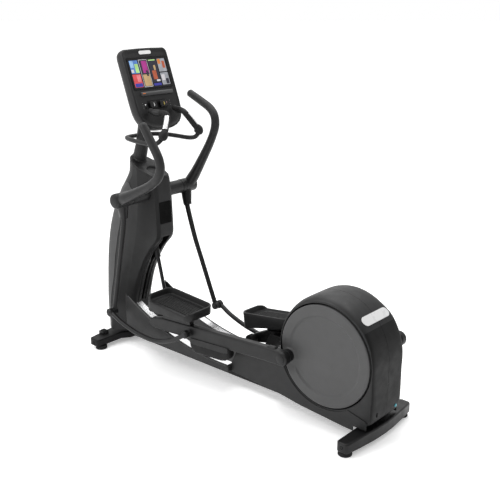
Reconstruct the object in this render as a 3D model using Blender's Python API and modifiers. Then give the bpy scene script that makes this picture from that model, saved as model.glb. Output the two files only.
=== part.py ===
"""Elliptical trainer with a rear drive, an inclining roller track and swinging handlebars.

Metres, +Z up. +X points to the rear, where the drive is, and -X to the front, where the console is.
The user faces -X, so left is -Y. Left pieces stand at full forward stride, right pieces at full rearward.
"""

import math

import bmesh
import bpy
from mathutils import Matrix, Vector

LEFT, RIGHT = -1, 1
SIDE_NAMES = {LEFT: "left", RIGHT: "right"}
ORIGIN_SHIFT = 0.0375  # moves the whole object, so that the origin is the centre of its footprint

# Linkage
CRANK_X, CRANK_Z = 0.67, 0.396
CRANK_RADIUS = 0.222
CRANK_PHASE = math.radians(14)
TRACK_X, TRACK_Z = -0.003, 1.645  # centre of the curved track
TRACK_RADIUS = 1.485
ROLLER_RADIUS = 0.035
ARM_LENGTH = 0.95
LINK_JOINT = 0.30  # from the roller axle along the arm
HUB_X, HUB_Z = -0.662, 0.985
LEVER_LENGTH = 0.747
LINK_LENGTH = 0.645
RAMP_PIVOT_X, RAMP_PIVOT_Z = 0.373, 0.350
PEDAL_TILT = math.radians(8)

# Widths, as distances from the middle plane
TOWER_CLEAR = 0.106
RAIL_OUTSIDE = 0.154
PANEL_INSIDE, PANEL_OUTSIDE = 0.1565, 0.1625
SHROUD_INSIDE, SHROUD_OUTSIDE = 0.1335, 0.1375
ARM_INSIDE, ARM_OUTSIDE = 0.1655, 0.21
LINK_INSIDE, LINK_OUTSIDE = 0.222, 0.25
DISC_INSIDE, DISC_OUTSIDE = 0.12, 0.14
HOUSING_HALF_WIDTH = 0.133
HUB_INSIDE, HUB_OUTSIDE = 0.1905, 0.31
GAP = 0.0005  # between pieces that meet

WALL = 0.004
DISC_RADIUS = 0.264
DISC_OPENING = 0.272
STRIP_THICKNESS = 0.003
CONSOLE_X, CONSOLE_Z = -0.67, 1.6645  # centre of the display
CONSOLE_LEAN = math.radians(20)
LIFT_X, LIFT_Z = -0.74, 0.93
LIFT_PIN_X, LIFT_PIN_Z = -0.585, 0.285
TOWER_INWARD = -1

frames = {}
materials = {}


def clear_scene():
    for obj in list(bpy.data.objects):
        bpy.data.objects.remove(obj, do_unlink=True)


def new_collection(name):
    collection = bpy.data.collections.new(name)
    bpy.context.scene.collection.children.link(collection)
    return collection


def material(name, colour, roughness, metallic=0.0):
    made = bpy.data.materials.new(name)
    made.use_nodes = True
    shader = made.node_tree.nodes["Principled BSDF"]
    shader.inputs["Base Color"].default_value = (*colour, 1.0)
    shader.inputs["Roughness"].default_value = roughness
    shader.inputs["Metallic"].default_value = metallic
    materials[name] = made


def make_materials():
    material("charcoal_plastic", (0.035, 0.035, 0.037), 0.45)
    material("black_plastic", (0.012, 0.012, 0.013), 0.5)
    material("grey_plastic", (0.1, 0.1, 0.105), 0.5)
    material("charcoal_paint", (0.03, 0.03, 0.032), 0.35, 0.3)
    material("steel", (0.6, 0.6, 0.6), 0.3, 1.0)
    material("rubber", (0.02, 0.02, 0.02), 0.8)
    material("white_plastic", (0.8, 0.8, 0.8), 0.4)
    material("screen", (0.01, 0.01, 0.012), 0.1)


# Placing


def joint_frame(name, at, parent):
    """An empty on a moving piece's axis. Positions are those of the whole object, before ORIGIN_SHIFT."""
    empty = bpy.data.objects.new(name, None)
    empty.location = at
    model.objects.link(empty)
    frames[name] = Vector(at)
    if parent:
        empty.parent = parent
        empty.matrix_parent_inverse = Matrix.Translation(-frames[parent.name])
    return empty


def finish(obj, parent, material_name, smooth=30):
    """Gives a piece its parent and material, and shades its round faces smooth."""
    obj.parent = parent
    obj.matrix_parent_inverse = Matrix.Translation(-frames[parent.name])
    obj.data.materials.clear()
    obj.data.materials.append(materials[material_name])
    obj.data.shade_smooth()
    obj.data.set_sharp_from_angle(angle=math.radians(smooth))
    return obj


def mesh_object(name, bm, location=(0, 0, 0), rotation=(0, 0, 0)):
    mesh = bpy.data.meshes.new(name)
    bm.to_mesh(mesh)
    bm.free()
    obj = bpy.data.objects.new(name, mesh)
    obj.location = location
    obj.rotation_euler = rotation
    model.objects.link(obj)
    return obj


def curve_as_mesh(name, curve, matrix):
    """The curve's solid as a mesh with its caps welded, so that it takes modifiers."""
    source = bpy.data.objects.new(name + "_curve", curve)
    model.objects.link(source)
    graph = bpy.context.evaluated_depsgraph_get()
    mesh = bpy.data.meshes.new_from_object(source.evaluated_get(graph))
    bpy.data.objects.remove(source)
    bm = bmesh.new()
    bm.from_mesh(mesh)
    bmesh.ops.remove_doubles(bm, verts=bm.verts, dist=1e-5)
    bmesh.ops.recalc_face_normals(bm, faces=bm.faces)
    obj = mesh_object(name, bm)
    bpy.data.meshes.remove(mesh)
    obj.matrix_world = matrix
    return obj


# Shapes


def box(name, centre, size, tilt=0.0):
    """A box, tilted about Y."""
    bm = bmesh.new()
    bmesh.ops.create_cube(bm, size=1.0, matrix=Matrix.Diagonal((*size, 1.0)))
    return mesh_object(name, bm, centre, (0, tilt, 0))


def rod(name, x, z, radius, y0, y1, segments=24):
    """A cylinder along Y."""
    bm = bmesh.new()
    bmesh.ops.create_cone(
        bm, cap_ends=True, segments=segments, radius1=radius, radius2=radius, depth=abs(y1 - y0)
    )
    return mesh_object(name, bm, (x, (y0 + y1) / 2, z), (math.pi / 2, 0, 0))


def post(name, x, y, radius, z0, z1, segments=24):
    """A cylinder along Z."""
    bm = bmesh.new()
    bmesh.ops.create_cone(
        bm, cap_ends=True, segments=segments, radius1=radius, radius2=radius, depth=z1 - z0
    )
    return mesh_object(name, bm, (x, y, (z0 + z1) / 2))


def circle(x, z, radius, count=32):
    turns = [2 * math.pi * step / count for step in range(count)]
    return [(x + radius * math.cos(turn), z + radius * math.sin(turn)) for turn in turns]


def flat(name, outline, thickness, matrix, holes=()):
    """An extruded flat outline, in the plane and place that the matrix gives."""
    curve = bpy.data.curves.new(name, "CURVE")
    curve.dimensions = "2D"
    curve.fill_mode = "BOTH"
    curve.extrude = thickness / 2
    for points in (outline, *holes):
        spline = curve.splines.new("POLY")
        spline.points.add(len(points) - 1)
        for point, (u, v) in zip(spline.points, points):
            point.co = (u, v, 0, 1)
        spline.use_cyclic_u = True
    return curve_as_mesh(name, curve, matrix)


def side_plate(name, outline, y0, y1, holes=()):
    """A plate that stands in the XZ plane, between y0 and y1."""
    upright = Matrix.Translation((0, (y0 + y1) / 2, 0)) @ Matrix.Rotation(math.pi / 2, 4, "X")
    return flat(name, outline, abs(y1 - y0), upright, holes)


def floor_plate(name, outline, z0, z1, holes=()):
    """A plate that lies in the XY plane, between z0 and z1."""
    return flat(name, outline, z1 - z0, Matrix.Translation((0, 0, (z0 + z1) / 2)), holes)


def smooth_path(points, steps):
    """Points on a smooth curve through the given points. Each point is (x, y, z, radius)."""
    rows = [Vector(point) for point in points]
    rows = [2 * rows[0] - rows[1], *rows, 2 * rows[-1] - rows[-2]]
    path = []
    for a, b, c, d in zip(rows, rows[1:], rows[2:], rows[3:]):
        for step in range(steps):
            t = step / steps
            path.append(
                b
                + (c - a) * (t / 2)
                + (2 * a - 5 * b + 4 * c - d) * (t * t / 2)
                + (3 * b - a - 3 * c + d) * (t**3 / 2)
            )
    return [*path, rows[-2]]


def tube(name, points, steps=3, sides=3):
    """A round solid tube through points of (x, y, z, radius)."""
    curve = bpy.data.curves.new(name, "CURVE")
    curve.dimensions = "3D"
    curve.bevel_depth = 1.0
    curve.bevel_resolution = sides
    curve.use_fill_caps = True
    path = smooth_path(points, steps)
    spline = curve.splines.new("POLY")
    spline.points.add(len(path) - 1)
    for point, (x, y, z, radius) in zip(spline.points, path):
        point.co = (x, y, z, 1)
        point.radius = radius
    return curve_as_mesh(name, curve, Matrix())


def loft(name, rings, closed=True, cap=True, matrix=None):
    """A surface through rings of equally many points. An open one gets its walls from Solidify."""
    bm = bmesh.new()
    rows = [[bm.verts.new(point) for point in ring] for ring in rings]
    count = len(rows[0])
    for lower, upper in zip(rows, rows[1:]):
        for i in range(count if closed else count - 1):
            j = (i + 1) % count
            bm.faces.new((lower[i], lower[j], upper[j], upper[i]))
    if cap:
        bm.faces.new(reversed(rows[0]))
        bm.faces.new(rows[-1])
    bmesh.ops.recalc_face_normals(bm, faces=bm.faces)
    obj = mesh_object(name, bm)
    if matrix:
        obj.matrix_world = matrix
    return obj


# Modifiers


def bevel(obj, width, segments=2):
    modifier = obj.modifiers.new("Bevel", "BEVEL")
    modifier.width = width
    modifier.segments = segments
    modifier.limit_method = "ANGLE"
    modifier.angle_limit = math.radians(40)
    return obj


def solidify(obj, thickness, offset):
    modifier = obj.modifiers.new("Solidify", "SOLIDIFY")
    modifier.thickness = thickness
    modifier.offset = offset
    modifier.use_even_offset = True
    return obj


def combine(obj, others, operation):
    """Joins the other shapes to this one, or cuts them from it."""
    for other in others:
        modifier = obj.modifiers.new(other.name, "BOOLEAN")
        modifier.operation = operation
        modifier.solver = "EXACT"
        modifier.object = other
        model.objects.unlink(other)
        cutters.objects.link(other)
        other.hide_render = True
        other.display_type = "WIRE"
    return obj


def join(obj, *others):
    return combine(obj, others, "UNION")


def cut(obj, *others):
    return combine(obj, others, "DIFFERENCE")


# Linkage geometry


def meet(first, first_radius, second, second_radius):
    """The two points that lie on both circles, the lower one first."""
    first, second = Vector(first), Vector(second)
    apart = second - first
    along = (first_radius**2 - second_radius**2 + apart.length_squared) / (2 * apart.length)
    across = math.sqrt(first_radius**2 - along**2)
    middle = first + apart.normalized() * along
    sideways = Vector((-apart.y, apart.x)).normalized() * across
    return sorted((middle + sideways, middle - sideways), key=lambda point: point.y)


def crank_pin(side):
    """The left pin is forward of the crank's axle and the right pin is behind it."""
    angle = CRANK_PHASE + (math.pi if side == LEFT else 0)
    return Vector(
        (CRANK_X + CRANK_RADIUS * math.cos(angle), CRANK_Z + CRANK_RADIUS * math.sin(angle))
    )


def roller_axle(side):
    return meet(crank_pin(side), ARM_LENGTH, (TRACK_X, TRACK_Z), TRACK_RADIUS - ROLLER_RADIUS)[0]


def arm_slope(side):
    rise = crank_pin(side) - roller_axle(side)
    return math.atan2(rise.y, rise.x)


def arm_point(side, along, up):
    """A point in the arm's own directions, from the roller axle, as (x, z)."""
    slope = arm_slope(side)
    turned = Vector((along, up))
    turned.rotate(Matrix.Rotation(slope, 2))
    return roller_axle(side) + turned


def lever_end(side):
    """Where the handlebar's lever meets its link: the point nearer the front."""
    points = meet((HUB_X, HUB_Z), LEVER_LENGTH, arm_point(side, LINK_JOINT, 0), LINK_LENGTH)
    return min(points, key=lambda point: point.x)


def track_z(x, radius):
    return TRACK_Z - math.sqrt(radius**2 - (x - TRACK_X) ** 2)


def track_arc(radius, x0, x1, count=14):
    xs = [x0 + (x1 - x0) * step / (count - 1) for step in range(count)]
    return [(x, track_z(x, radius)) for x in xs]


def track_band(inner, outer, x0, x1):
    return track_arc(inner, x0, x1) + track_arc(outer, x1, x0)


# Base


def mirrored(outline):
    """A plan outline from the half with y above zero, whose points run from the middle plane to it."""
    return outline + [(x, -y) for x, y in reversed(outline) if y > 1e-6]


def base_frame(root):
    """The main beam, with the side plates that carry the crank's bearings and the ramp's pivot."""
    frame = box("base_frame", (-0.027, 0, 0.068), (1.773, 0.10, 0.044))
    outline = [(0.33, 0.07), (0.345, 0.372), (0.40, 0.385), (0.66, 0.46), (0.73, 0.42), (0.80, 0.07)]
    holes = [
        circle(RAMP_PIVOT_X, RAMP_PIVOT_Z, 0.010, 16),
        circle(CRANK_X, CRANK_Z, 0.030, 24),
        circle(0.42, 0.22, 0.009, 16),
    ]
    plates = [side_plate(f"bearing_plate_{s}", outline, s * 0.045, s * 0.07, holes) for s in (LEFT, RIGHT)]
    finish(join(frame, *plates), root, "charcoal_paint")
    pin = rod("ramp_pivot_pin", RAMP_PIVOT_X, RAMP_PIVOT_Z, 0.0095, -0.112, 0.112, 16)
    finish(pin, root, "steel")
    for side, word in SIDE_NAMES.items():
        ring = side_plate(
            word + "_crank_bearing",
            circle(CRANK_X, CRANK_Z, 0.0295, 24),
            side * 0.045,
            side * 0.07,
            [circle(CRANK_X, CRANK_Z, 0.0205, 24)],
        )
        finish(ring, root, "steel")


def crossfeet(root):
    """The two transverse feet. The front one holds the pins of the transport wheels."""
    front_half = [(-1.03, 0), (-1.028, 0.05), (-0.995, 0.275), (-0.985, 0.285), (-0.925, 0.285), (-0.915, 0.275)]
    front = mirrored(front_half)
    plate = floor_plate("front_crossfoot", front, 0.022, 0.066)
    slots = [box(f"wheel_slot_{s}", (-1.0, s * 0.18, 0.06), (0.1, 0.036, 0.1)) for s in (LEFT, RIGHT)]
    cut(plate, *slots)
    pins = [rod(f"wheel_pin_{s}", -0.985, 0.062, 0.004, s * 0.158, s * 0.202, 12) for s in (LEFT, RIGHT)]
    join(plate, *pins)
    finish(plate, root, "charcoal_paint")
    rear_half = [(0.955, 0), (0.952, 0.08), (0.925, 0.275), (0.915, 0.285), (0.87, 0.285), (0.8605, 0.275)]
    rear = mirrored(rear_half)
    finish(bevel(floor_plate("rear_crossfoot", rear, 0.022, 0.085), 0.008), root, "charcoal_paint")
    spots = {
        "front_left": (-0.938, -0.24),
        "front_right": (-0.938, 0.24),
        "rear_left": (0.891, -0.25),
        "rear_right": (0.891, 0.25),
    }
    for word, (x, y) in spots.items():
        foot = post(word + "_levelling_foot", x, y, 0.035, 0, 0.0215, 16)
        finish(bevel(foot, 0.004, 1), root, "rubber")


def side_panels(root):
    """Long covers beside the track. At the rear they step inwards to shrouds beside the drive housing."""
    top = track_arc(TRACK_RADIUS + 0.004, -0.78, 0.05, 12)
    opening = [math.radians(angle) for angle in range(194, 303, 12)]
    rim = [(CRANK_X + 0.279 * math.cos(a), CRANK_Z + 0.279 * math.sin(a)) for a in opening]
    front = [(0.05, 0.157), (0.068, 0.20), (0.10, 0.262), (0.14, 0.285), (0.36, 0.285), (0.385, 0.32)]
    below = [(0.93, 0.13), (0.93, 0.0865), (0.856, 0.0865), (0.856, 0.062)]
    below += [(0.80, 0.064), (0.53, 0.085), (0.378, 0.106)]
    for side, word in SIDE_NAMES.items():
        outline = top + [(0.056, 0.157), (0.056, 0.125), (-0.62, 0.128), (-0.78, 0.17)]
        panel = side_plate(word + "_side_panel", outline, side * PANEL_INSIDE, side * PANEL_OUTSIDE)
        shroud = front + rim + below + [(0.05, 0.125)]
        rear = side_plate(word + "_shroud", shroud, side * SHROUD_INSIDE, side * SHROUD_OUTSIDE)
        web = box(word + "_web", (0.053, side * 0.148, 0.141), (0.005, 0.027, 0.029))
        top_flange = box(word + "_top_flange", (0.25, side * 0.121, 0.2815), (0.216, 0.029, 0.006))
        finish(join(panel, web, rear, top_flange), root, "charcoal_plastic")


def housing_reach(angle):
    """Distance from the crank's axle to the housing's outline: round above, square below."""
    if math.sin(angle) >= 0:
        return 0.305 - 0.02 * math.cos(angle) ** 2
    return (abs(math.cos(angle) / 0.285) ** 12 + abs(math.sin(angle) / 0.30) ** 12) ** (-1 / 12)


def drive_covers(root):
    """The two halves of the rear housing, each with a round opening for its crank disc."""
    angles = [2 * math.pi * step / 56 for step in range(56)]

    def ring(y, reach):
        return [(CRANK_X + reach(a) * math.cos(a), y, CRANK_Z + reach(a) * math.sin(a)) for a in angles]

    for side, word in SIDE_NAMES.items():
        rings = [
            ring(side * GAP, housing_reach),
            ring(side * (HOUSING_HALF_WIDTH - 0.012), housing_reach),
            ring(side * HOUSING_HALF_WIDTH, lambda a: housing_reach(a) - 0.010),
            ring(side * HOUSING_HALF_WIDTH, lambda a: DISC_OPENING),
        ]
        cover = loft(word + "_drive_cover", rings, cap=False)
        solidify(cover, WALL, -1)
        front = box(word + "_front_opening", (0.36, side * 0.05, 0.25), (0.12, 0.15, 0.30))
        below = box(word + "_bottom_opening", (0.58, side * 0.03, 0.11), (0.50, 0.12, 0.08))
        cut(cover, front, below)
        finish(cover, root, "charcoal_plastic")
    angle = math.radians(48.7)
    reach = housing_reach(angle) + 0.003
    badge = box(
        "rear_badge",
        (CRANK_X + reach * math.cos(angle), 0, CRANK_Z + reach * math.sin(angle)),
        (0.004, 0.21, 0.05),
        -angle,
    )
    finish(bevel(badge, 0.0015), root, "white_plastic")


# Crank and generator


def belt_outline(extra):
    """The loop round the drive pulley and the generator, further out than them by extra."""
    big, small = Vector((CRANK_X, CRANK_Z)), Vector((0.42, 0.22))
    big_radius, small_radius = 0.15 + extra, 0.045 + extra
    apart = small - big
    heading = math.atan2(apart.y, apart.x)
    turn = math.acos((big_radius - small_radius) / apart.length)
    outline = []
    for centre, radius, start, sweep, steps in (
        (big, big_radius, heading + turn, 2 * math.pi - 2 * turn, 40),
        (small, small_radius, heading - turn, 2 * turn, 12),
    ):
        for step in range(steps + 1):
            angle = start + sweep * step / steps
            outline.append((centre.x + radius * math.cos(angle), centre.y + radius * math.sin(angle)))
    return outline


def crank(root):
    body = joint_frame("crank", (CRANK_X, 0, CRANK_Z), root)
    shaft = rod("crank_shaft", CRANK_X, CRANK_Z, 0.020, -DISC_INSIDE + GAP, DISC_INSIDE - GAP)
    pulley = rod("drive_pulley", CRANK_X, CRANK_Z, 0.15, -0.018, 0.018, 48)
    finish(join(shaft, pulley), body, "steel")
    for side, word in SIDE_NAMES.items():
        disc = rod(
            word + "_crank_disc", CRANK_X, CRANK_Z, DISC_RADIUS, side * DISC_INSIDE, side * DISC_OUTSIDE, 64
        )
        finish(bevel(disc, 0.003, 1), body, "grey_plastic")
    belt = side_plate("drive_belt", belt_outline(0.0042), -0.012, 0.012, [belt_outline(0.0012)])
    finish(belt, root, "rubber")
    rotor = joint_frame("generator_frame", (0.42, 0, 0.22), root)
    spindle = rod("generator", 0.42, 0.22, 0.0085, -0.068, 0.068, 16)
    drum = rod("generator_drum", 0.42, 0.22, 0.045, -0.03, 0.03)
    finish(join(spindle, drum), rotor, "steel")


# Ramp


def ramp(root):
    body = joint_frame("ramp", (RAMP_PIVOT_X, 0, RAMP_PIVOT_Z), root)
    deck_radius = TRACK_RADIUS + STRIP_THICKNESS + 0.0003
    deck = side_plate("ramp_frame", track_band(deck_radius, 1.512, -0.60, 0.045), -0.110, 0.110)
    eye = [
        (RAMP_PIVOT_X + 0.028 * math.cos(math.radians(a)), RAMP_PIVOT_Z + 0.028 * math.sin(math.radians(a)))
        for a in range(-40, 141, 20)
    ]
    arm = [(-0.06, 0.138), (0.10, 0.138), (0.25, 0.178), (0.36, 0.29), *eye]
    arm += [(0.29, 0.30), (0.21, 0.225), (0.10, 0.172), (0.0, 0.155), (-0.06, 0.150)]
    extras = []
    for side in (LEFT, RIGHT):
        rail = track_band(deck_radius, 1.520, -0.70, 0.045)
        extras.append(side_plate(f"rail_{side}", rail, side * TOWER_CLEAR, side * RAIL_OUTSIDE))
        hole = circle(RAMP_PIVOT_X, RAMP_PIVOT_Z, 0.0103, 16)
        extras.append(side_plate(f"swing_arm_{side}", arm, side * 0.085, side * 0.100, [hole]))
    finish(join(deck, *extras), body, "black_plastic")
    for side, word in SIDE_NAMES.items():
        strip = track_band(TRACK_RADIUS, TRACK_RADIUS + STRIP_THICKNESS, -0.695, 0.04)
        plate = side_plate(word + "_track_strip", strip, side * 0.108, side * 0.150)
        finish(plate, body, "steel")
    return body


def lift(root):
    """The screw lift in the tower that raises the front of the ramp."""
    reach = Vector((LIFT_PIN_X - LIFT_X, LIFT_PIN_Z - LIFT_Z))
    down = reach.normalized()
    tilt = math.atan2(-down.x, -down.y)
    outer = joint_frame("lift_hinge", (LIFT_X, 0, LIFT_Z), root)
    inner = joint_frame("lift_slide", (LIFT_X, 0, LIFT_Z), outer)

    def cylinder(name, radius, start, end):
        middle = (start + end) / 2
        piece = post(name, 0, 0, radius, -(end - start) / 2, (end - start) / 2)
        piece.location = (LIFT_X + down.x * middle, 0, LIFT_Z + down.y * middle)
        piece.rotation_euler = (0, tilt, 0)
        return piece

    shell = cylinder("lift_tube", 0.017, 0.0, 0.35)
    bore = cylinder("lift_bore", 0.0115, 0.02, 0.40)
    finish(cut(shell, bore), outer, "charcoal_paint")
    finish(cylinder("lift_rod", 0.011, 0.325, reach.length - 0.012), inner, "steel")


# Carriages, foot arms and pedals


def carriage(side, ramp_body):
    word = SIDE_NAMES[side]
    axle = roller_axle(side)
    body = joint_frame(word + "_carriage", (TRACK_X, 0, TRACK_Z), ramp_body)
    pin = rod(word + "_roller_axle", axle.x, axle.y, 0.010, side * 0.100, side * 0.150, 16)
    finish(pin, body, "steel")
    wheel = joint_frame(word + "_roller_frame", (axle.x, side * 0.125, axle.y), body)
    roller = side_plate(
        word + "_roller",
        circle(axle.x, axle.y, ROLLER_RADIUS - 0.0004, 32),
        side * 0.109,
        side * 0.145,
        [circle(axle.x, axle.y, 0.0105, 16)],
    )
    finish(bevel(roller, 0.002, 1), wheel, "rubber")
    bush_body = joint_frame(word + "_arm_bush_frame", (axle.x, side * 0.158, axle.y), body)
    bush = rod(word + "_arm_bush", axle.x, axle.y, 0.015, side * (0.150 + GAP), side * (ARM_INSIDE - GAP), 16)
    finish(bush, bush_body, "steel")
    foot_arm(side, bush_body)


def foot_arm(side, bush_body):
    word = SIDE_NAMES[side]
    axle, pin = roller_axle(side), crank_pin(side)
    body = joint_frame(word + "_arm_frame", (axle.x, side * 0.19, axle.y), bush_body)
    turns = [math.radians(angle) for angle in range(-90, 91, 20)]
    nose = [(-0.028 * math.cos(turn), 0.028 * math.sin(turn)) for turn in turns]
    tail = [(ARM_LENGTH + 0.039 * math.cos(turn), 0.039 * math.sin(turn)) for turn in turns]
    outline = [*nose, (0.08, 0.043), (ARM_LENGTH - 0.10, 0.043), *reversed(tail)]
    outline += [(ARM_LENGTH - 0.10, -0.035), (0.12, -0.035)]
    beam = side_plate(
        word + "_foot_arm",
        [arm_point(side, *point) for point in outline],
        side * ARM_INSIDE,
        side * ARM_OUTSIDE,
    )
    fairing_outline = [(0.30, -0.02), (0.60, -0.02), (0.60, -0.075), (0.565, -0.11), (0.32, -0.11), (0.30, -0.09)]
    fairing = side_plate(
        word + "_fairing",
        [arm_point(side, *point) for point in fairing_outline],
        side * (ARM_INSIDE + 0.001),
        side * (ARM_OUTSIDE + 0.005),
    )
    joint = arm_point(side, LINK_JOINT, 0)
    stub = rod(word + "_pin_stub", pin.x, pin.y, 0.034, side * (DISC_OUTSIDE + GAP), side * 0.17)
    stud = rod(word + "_link_stud", joint.x, joint.y, 0.012, side * 0.205, side * (LINK_INSIDE - GAP), 16)
    finish(join(beam, fairing, stub, stud), body, "charcoal_plastic")
    finish(pedal(side, word), body, "black_plastic")


def rounded_rectangle(length, width, radius, steps=5):
    points = []
    for corner, (u, v) in enumerate(((1, 1), (-1, 1), (-1, -1), (1, -1))):
        for step in range(steps + 1):
            angle = math.pi / 2 * (corner + step / steps)
            points.append(
                (
                    u * (length / 2 - radius) + radius * math.cos(angle),
                    v * (width / 2 - radius) + radius * math.sin(angle),
                )
            )
    return points


def pedal(side, word):
    """A tray with a high toe and inner wall and a low outer lip, on a riser that stands on the arm."""
    length, inside, outside, depth = 0.355, 0.062, 0.26, 0.080
    tilt = PEDAL_TILT - arm_slope(side)
    centre = arm_point(side, 0.190, 0.150)
    middle = side * (inside + outside) / 2
    place = Matrix.Translation((centre.x, middle, centre.y)) @ Matrix.Rotation(tilt, 4, "Y")

    def slab(name, outline, top, bottom, shift=0.0):
        lift_by = Matrix.Translation((0, side * shift, (top + bottom) / 2))
        return flat(name, outline, top - bottom, place @ lift_by)

    width = outside - inside
    tray = slab(word + "_pedal", rounded_rectangle(length, width, 0.04), 0, -depth)
    pocket = slab(word + "_pocket", rounded_rectangle(length - 0.024, width - 0.024, 0.03), 0.05, -0.028)
    lip = slab(word + "_lip", rounded_rectangle(length - 0.06, 0.05, 0.02), 0.05, -0.018, 0.093)
    heel = flat(
        word + "_heel_wedge",
        [(-0.10, -depth), (length, -depth + 0.0613), (length, -0.2), (-0.10, -0.2)],
        0.4,
        place @ Matrix.Rotation(math.pi / 2, 4, "X"),
    )
    riser_middle = arm_point(side, 0.20, 0.0435 + 0.02)
    riser = box(
        word + "_riser", (riser_middle.x, side * 0.19, riser_middle.y), (0.22, 0.034, 0.04), -arm_slope(side)
    )
    return join(cut(tray, pocket, lip, heel), riser)


# Handlebars and links


def handlebar(side, root):
    word = SIDE_NAMES[side]
    end = lever_end(side)
    shaft_body = joint_frame(word + "_hub_frame", (HUB_X, side * 0.275, HUB_Z), root)
    shaft = rod(word + "_hub_shaft", HUB_X, HUB_Z, 0.0175, side * HUB_INSIDE, side * 0.300, 20)
    finish(shaft, shaft_body, "steel")
    body = joint_frame(word + "_handlebar_frame", (HUB_X, side * 0.275, HUB_Z), shaft_body)
    drawn = Vector((-0.20, -0.72))  # the lever's end while the outlines below are drawn
    turn = drawn.angle_signed(end - Vector((HUB_X, HUB_Z)))

    def path(points):
        placed = []
        for x, y, z, radius in points:
            turned = Matrix.Rotation(-turn, 2) @ Vector((x, z))
            placed.append((HUB_X + turned.x, side * y, HUB_Z + turned.y, radius))
        return placed

    grip = [
        (0.0, 0.275, 0.0, 0.033),
        (0.12, 0.283, 0.045, 0.030),
        (0.24, 0.292, 0.095, 0.026),
        (0.34, 0.303, 0.148, 0.0235),
        (0.39, 0.309, 0.195, 0.0225),
        (0.403, 0.313, 0.24, 0.0225),
        (0.39, 0.317, 0.295, 0.0225),
        (0.295, 0.327, 0.456, 0.0215),
    ]
    lever = [
        (0.0, 0.250, 0.0, 0.030),
        (-0.03, 0.222, -0.07, 0.026),
        (-0.065, 0.206, -0.18, 0.017),
        (-0.13, 0.205, -0.45, 0.014),
        (-0.20, 0.205, -0.72, 0.014),
    ]
    bar = tube(word + "_handlebar", path(grip))
    casing = rod(word + "_hub_casing", HUB_X, HUB_Z, 0.042, side * HUB_INSIDE, side * HUB_OUTSIDE)
    boss = rod(word + "_lever_boss", end.x, end.y, 0.022, side * 0.190, side * 0.2205, 20)
    bore = rod(word + "_hub_bore", HUB_X, HUB_Z, 0.018, side * 0.18, side * 0.301, 20)
    join(bar, tube(word + "_lever", path(lever), 3), casing, boss)
    finish(cut(bar, bore), body, "charcoal_paint")
    link(side, body)


def link(side, bar_body):
    word = SIDE_NAMES[side]
    end, joint = lever_end(side), arm_point(side, LINK_JOINT, 0)
    pin_body = joint_frame(word + "_link_pin_frame", (end.x, side * 0.235, end.y), bar_body)
    pin = rod(word + "_link_pin", end.x, end.y, 0.012, side * (0.2205 + GAP), side * 0.252, 16)
    finish(pin, pin_body, "steel")
    body = joint_frame(word + "_link_frame", (end.x, side * 0.235, end.y), pin_body)
    along = joint - end
    below = Vector((along.y, -along.x)).normalized()
    middle_y = side * (LINK_INSIDE + LINK_OUTSIDE) / 2
    shape = [(0.03, 0.0), (0.16, 0.045), (0.38, 0.085), (0.60, 0.095), (0.82, 0.06), (1.0, 0.0)]
    points = []
    for part, sag in shape:
        spot = end + along * part + below * sag
        points.append((spot.x, middle_y, spot.y, 0.0135))
    banana = tube(word + "_link", points, 3)
    inside, outside = side * LINK_INSIDE, side * LINK_OUTSIDE
    front_eye = rod(word + "_front_eye", end.x, end.y, 0.025, inside, outside)
    rear_eye = rod(word + "_rear_eye", joint.x, joint.y, 0.022, inside, outside)
    bore = rod(word + "_eye_bore", end.x, end.y, 0.0125, side * 0.20, side * 0.30, 16)
    finish(cut(join(banana, front_eye, rear_eye), bore), body, "charcoal_paint")


# Tower and mast


def tower_top_z(x):
    return 1.14 - 0.4 * (x + 0.76)


def tower_half(rear, rear_half, side_x, side_half, wide_x, wide, front, nose):
    """Half of a plan section, from the rear middle round to the front middle, as (x, y)."""
    return [
        (rear, 0.0),
        (rear, rear_half * 0.72),
        (rear - 0.010, rear_half),
        (side_x, side_half),
        (wide_x, wide),
        (front + 0.055, wide * 0.98),
        (front + 0.015, wide * 0.80),
        (front - nose * 0.6, wide * 0.45),
        (front - nose, 0.0),
    ]


TOWER_SPLIT = 3  # the point of a half section where the front and the rear covers meet

TOWER_SECTIONS = [
    (0.10, (-0.835, 0.080, -0.858, 0.098, -0.92, 0.150, -1.005, 0.018)),
    (0.27, (-0.818, 0.076, -0.848, 0.098, -0.91, 0.148, -1.008, 0.018)),
    (0.36, (-0.793, 0.070, -0.838, 0.098, -0.895, 0.142, -1.010, 0.018)),
    (0.46, (-0.760, 0.067, -0.815, 0.098, -0.87, 0.134, -1.010, 0.018)),
    (0.56, (-0.712, 0.066, -0.785, 0.098, -0.86, 0.126, -1.008, 0.018)),
    (0.65, (-0.652, 0.066, -0.760, 0.098, -0.84, 0.120, -1.000, 0.018)),
    (0.735, (-0.582, 0.066, -0.735, 0.098, -0.82, 0.117, -0.984, 0.020)),
    (0.76, (-0.578, 0.066, -0.730, 0.098, -0.81, 0.116, -0.978, 0.020)),
    (0.88, (-0.582, 0.066, -0.712, 0.099, -0.79, 0.112, -0.935, 0.026)),
    (0.98, (-0.587, 0.066, -0.705, 0.098, -0.77, 0.103, -0.882, 0.030)),
    (None, (-0.600, 0.060, -0.725, 0.082, -0.76, 0.080, -0.812, 0.030)),
]


def tower_point(z, x, y):
    return (x, y, tower_top_z(x) if z is None else z)


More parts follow.
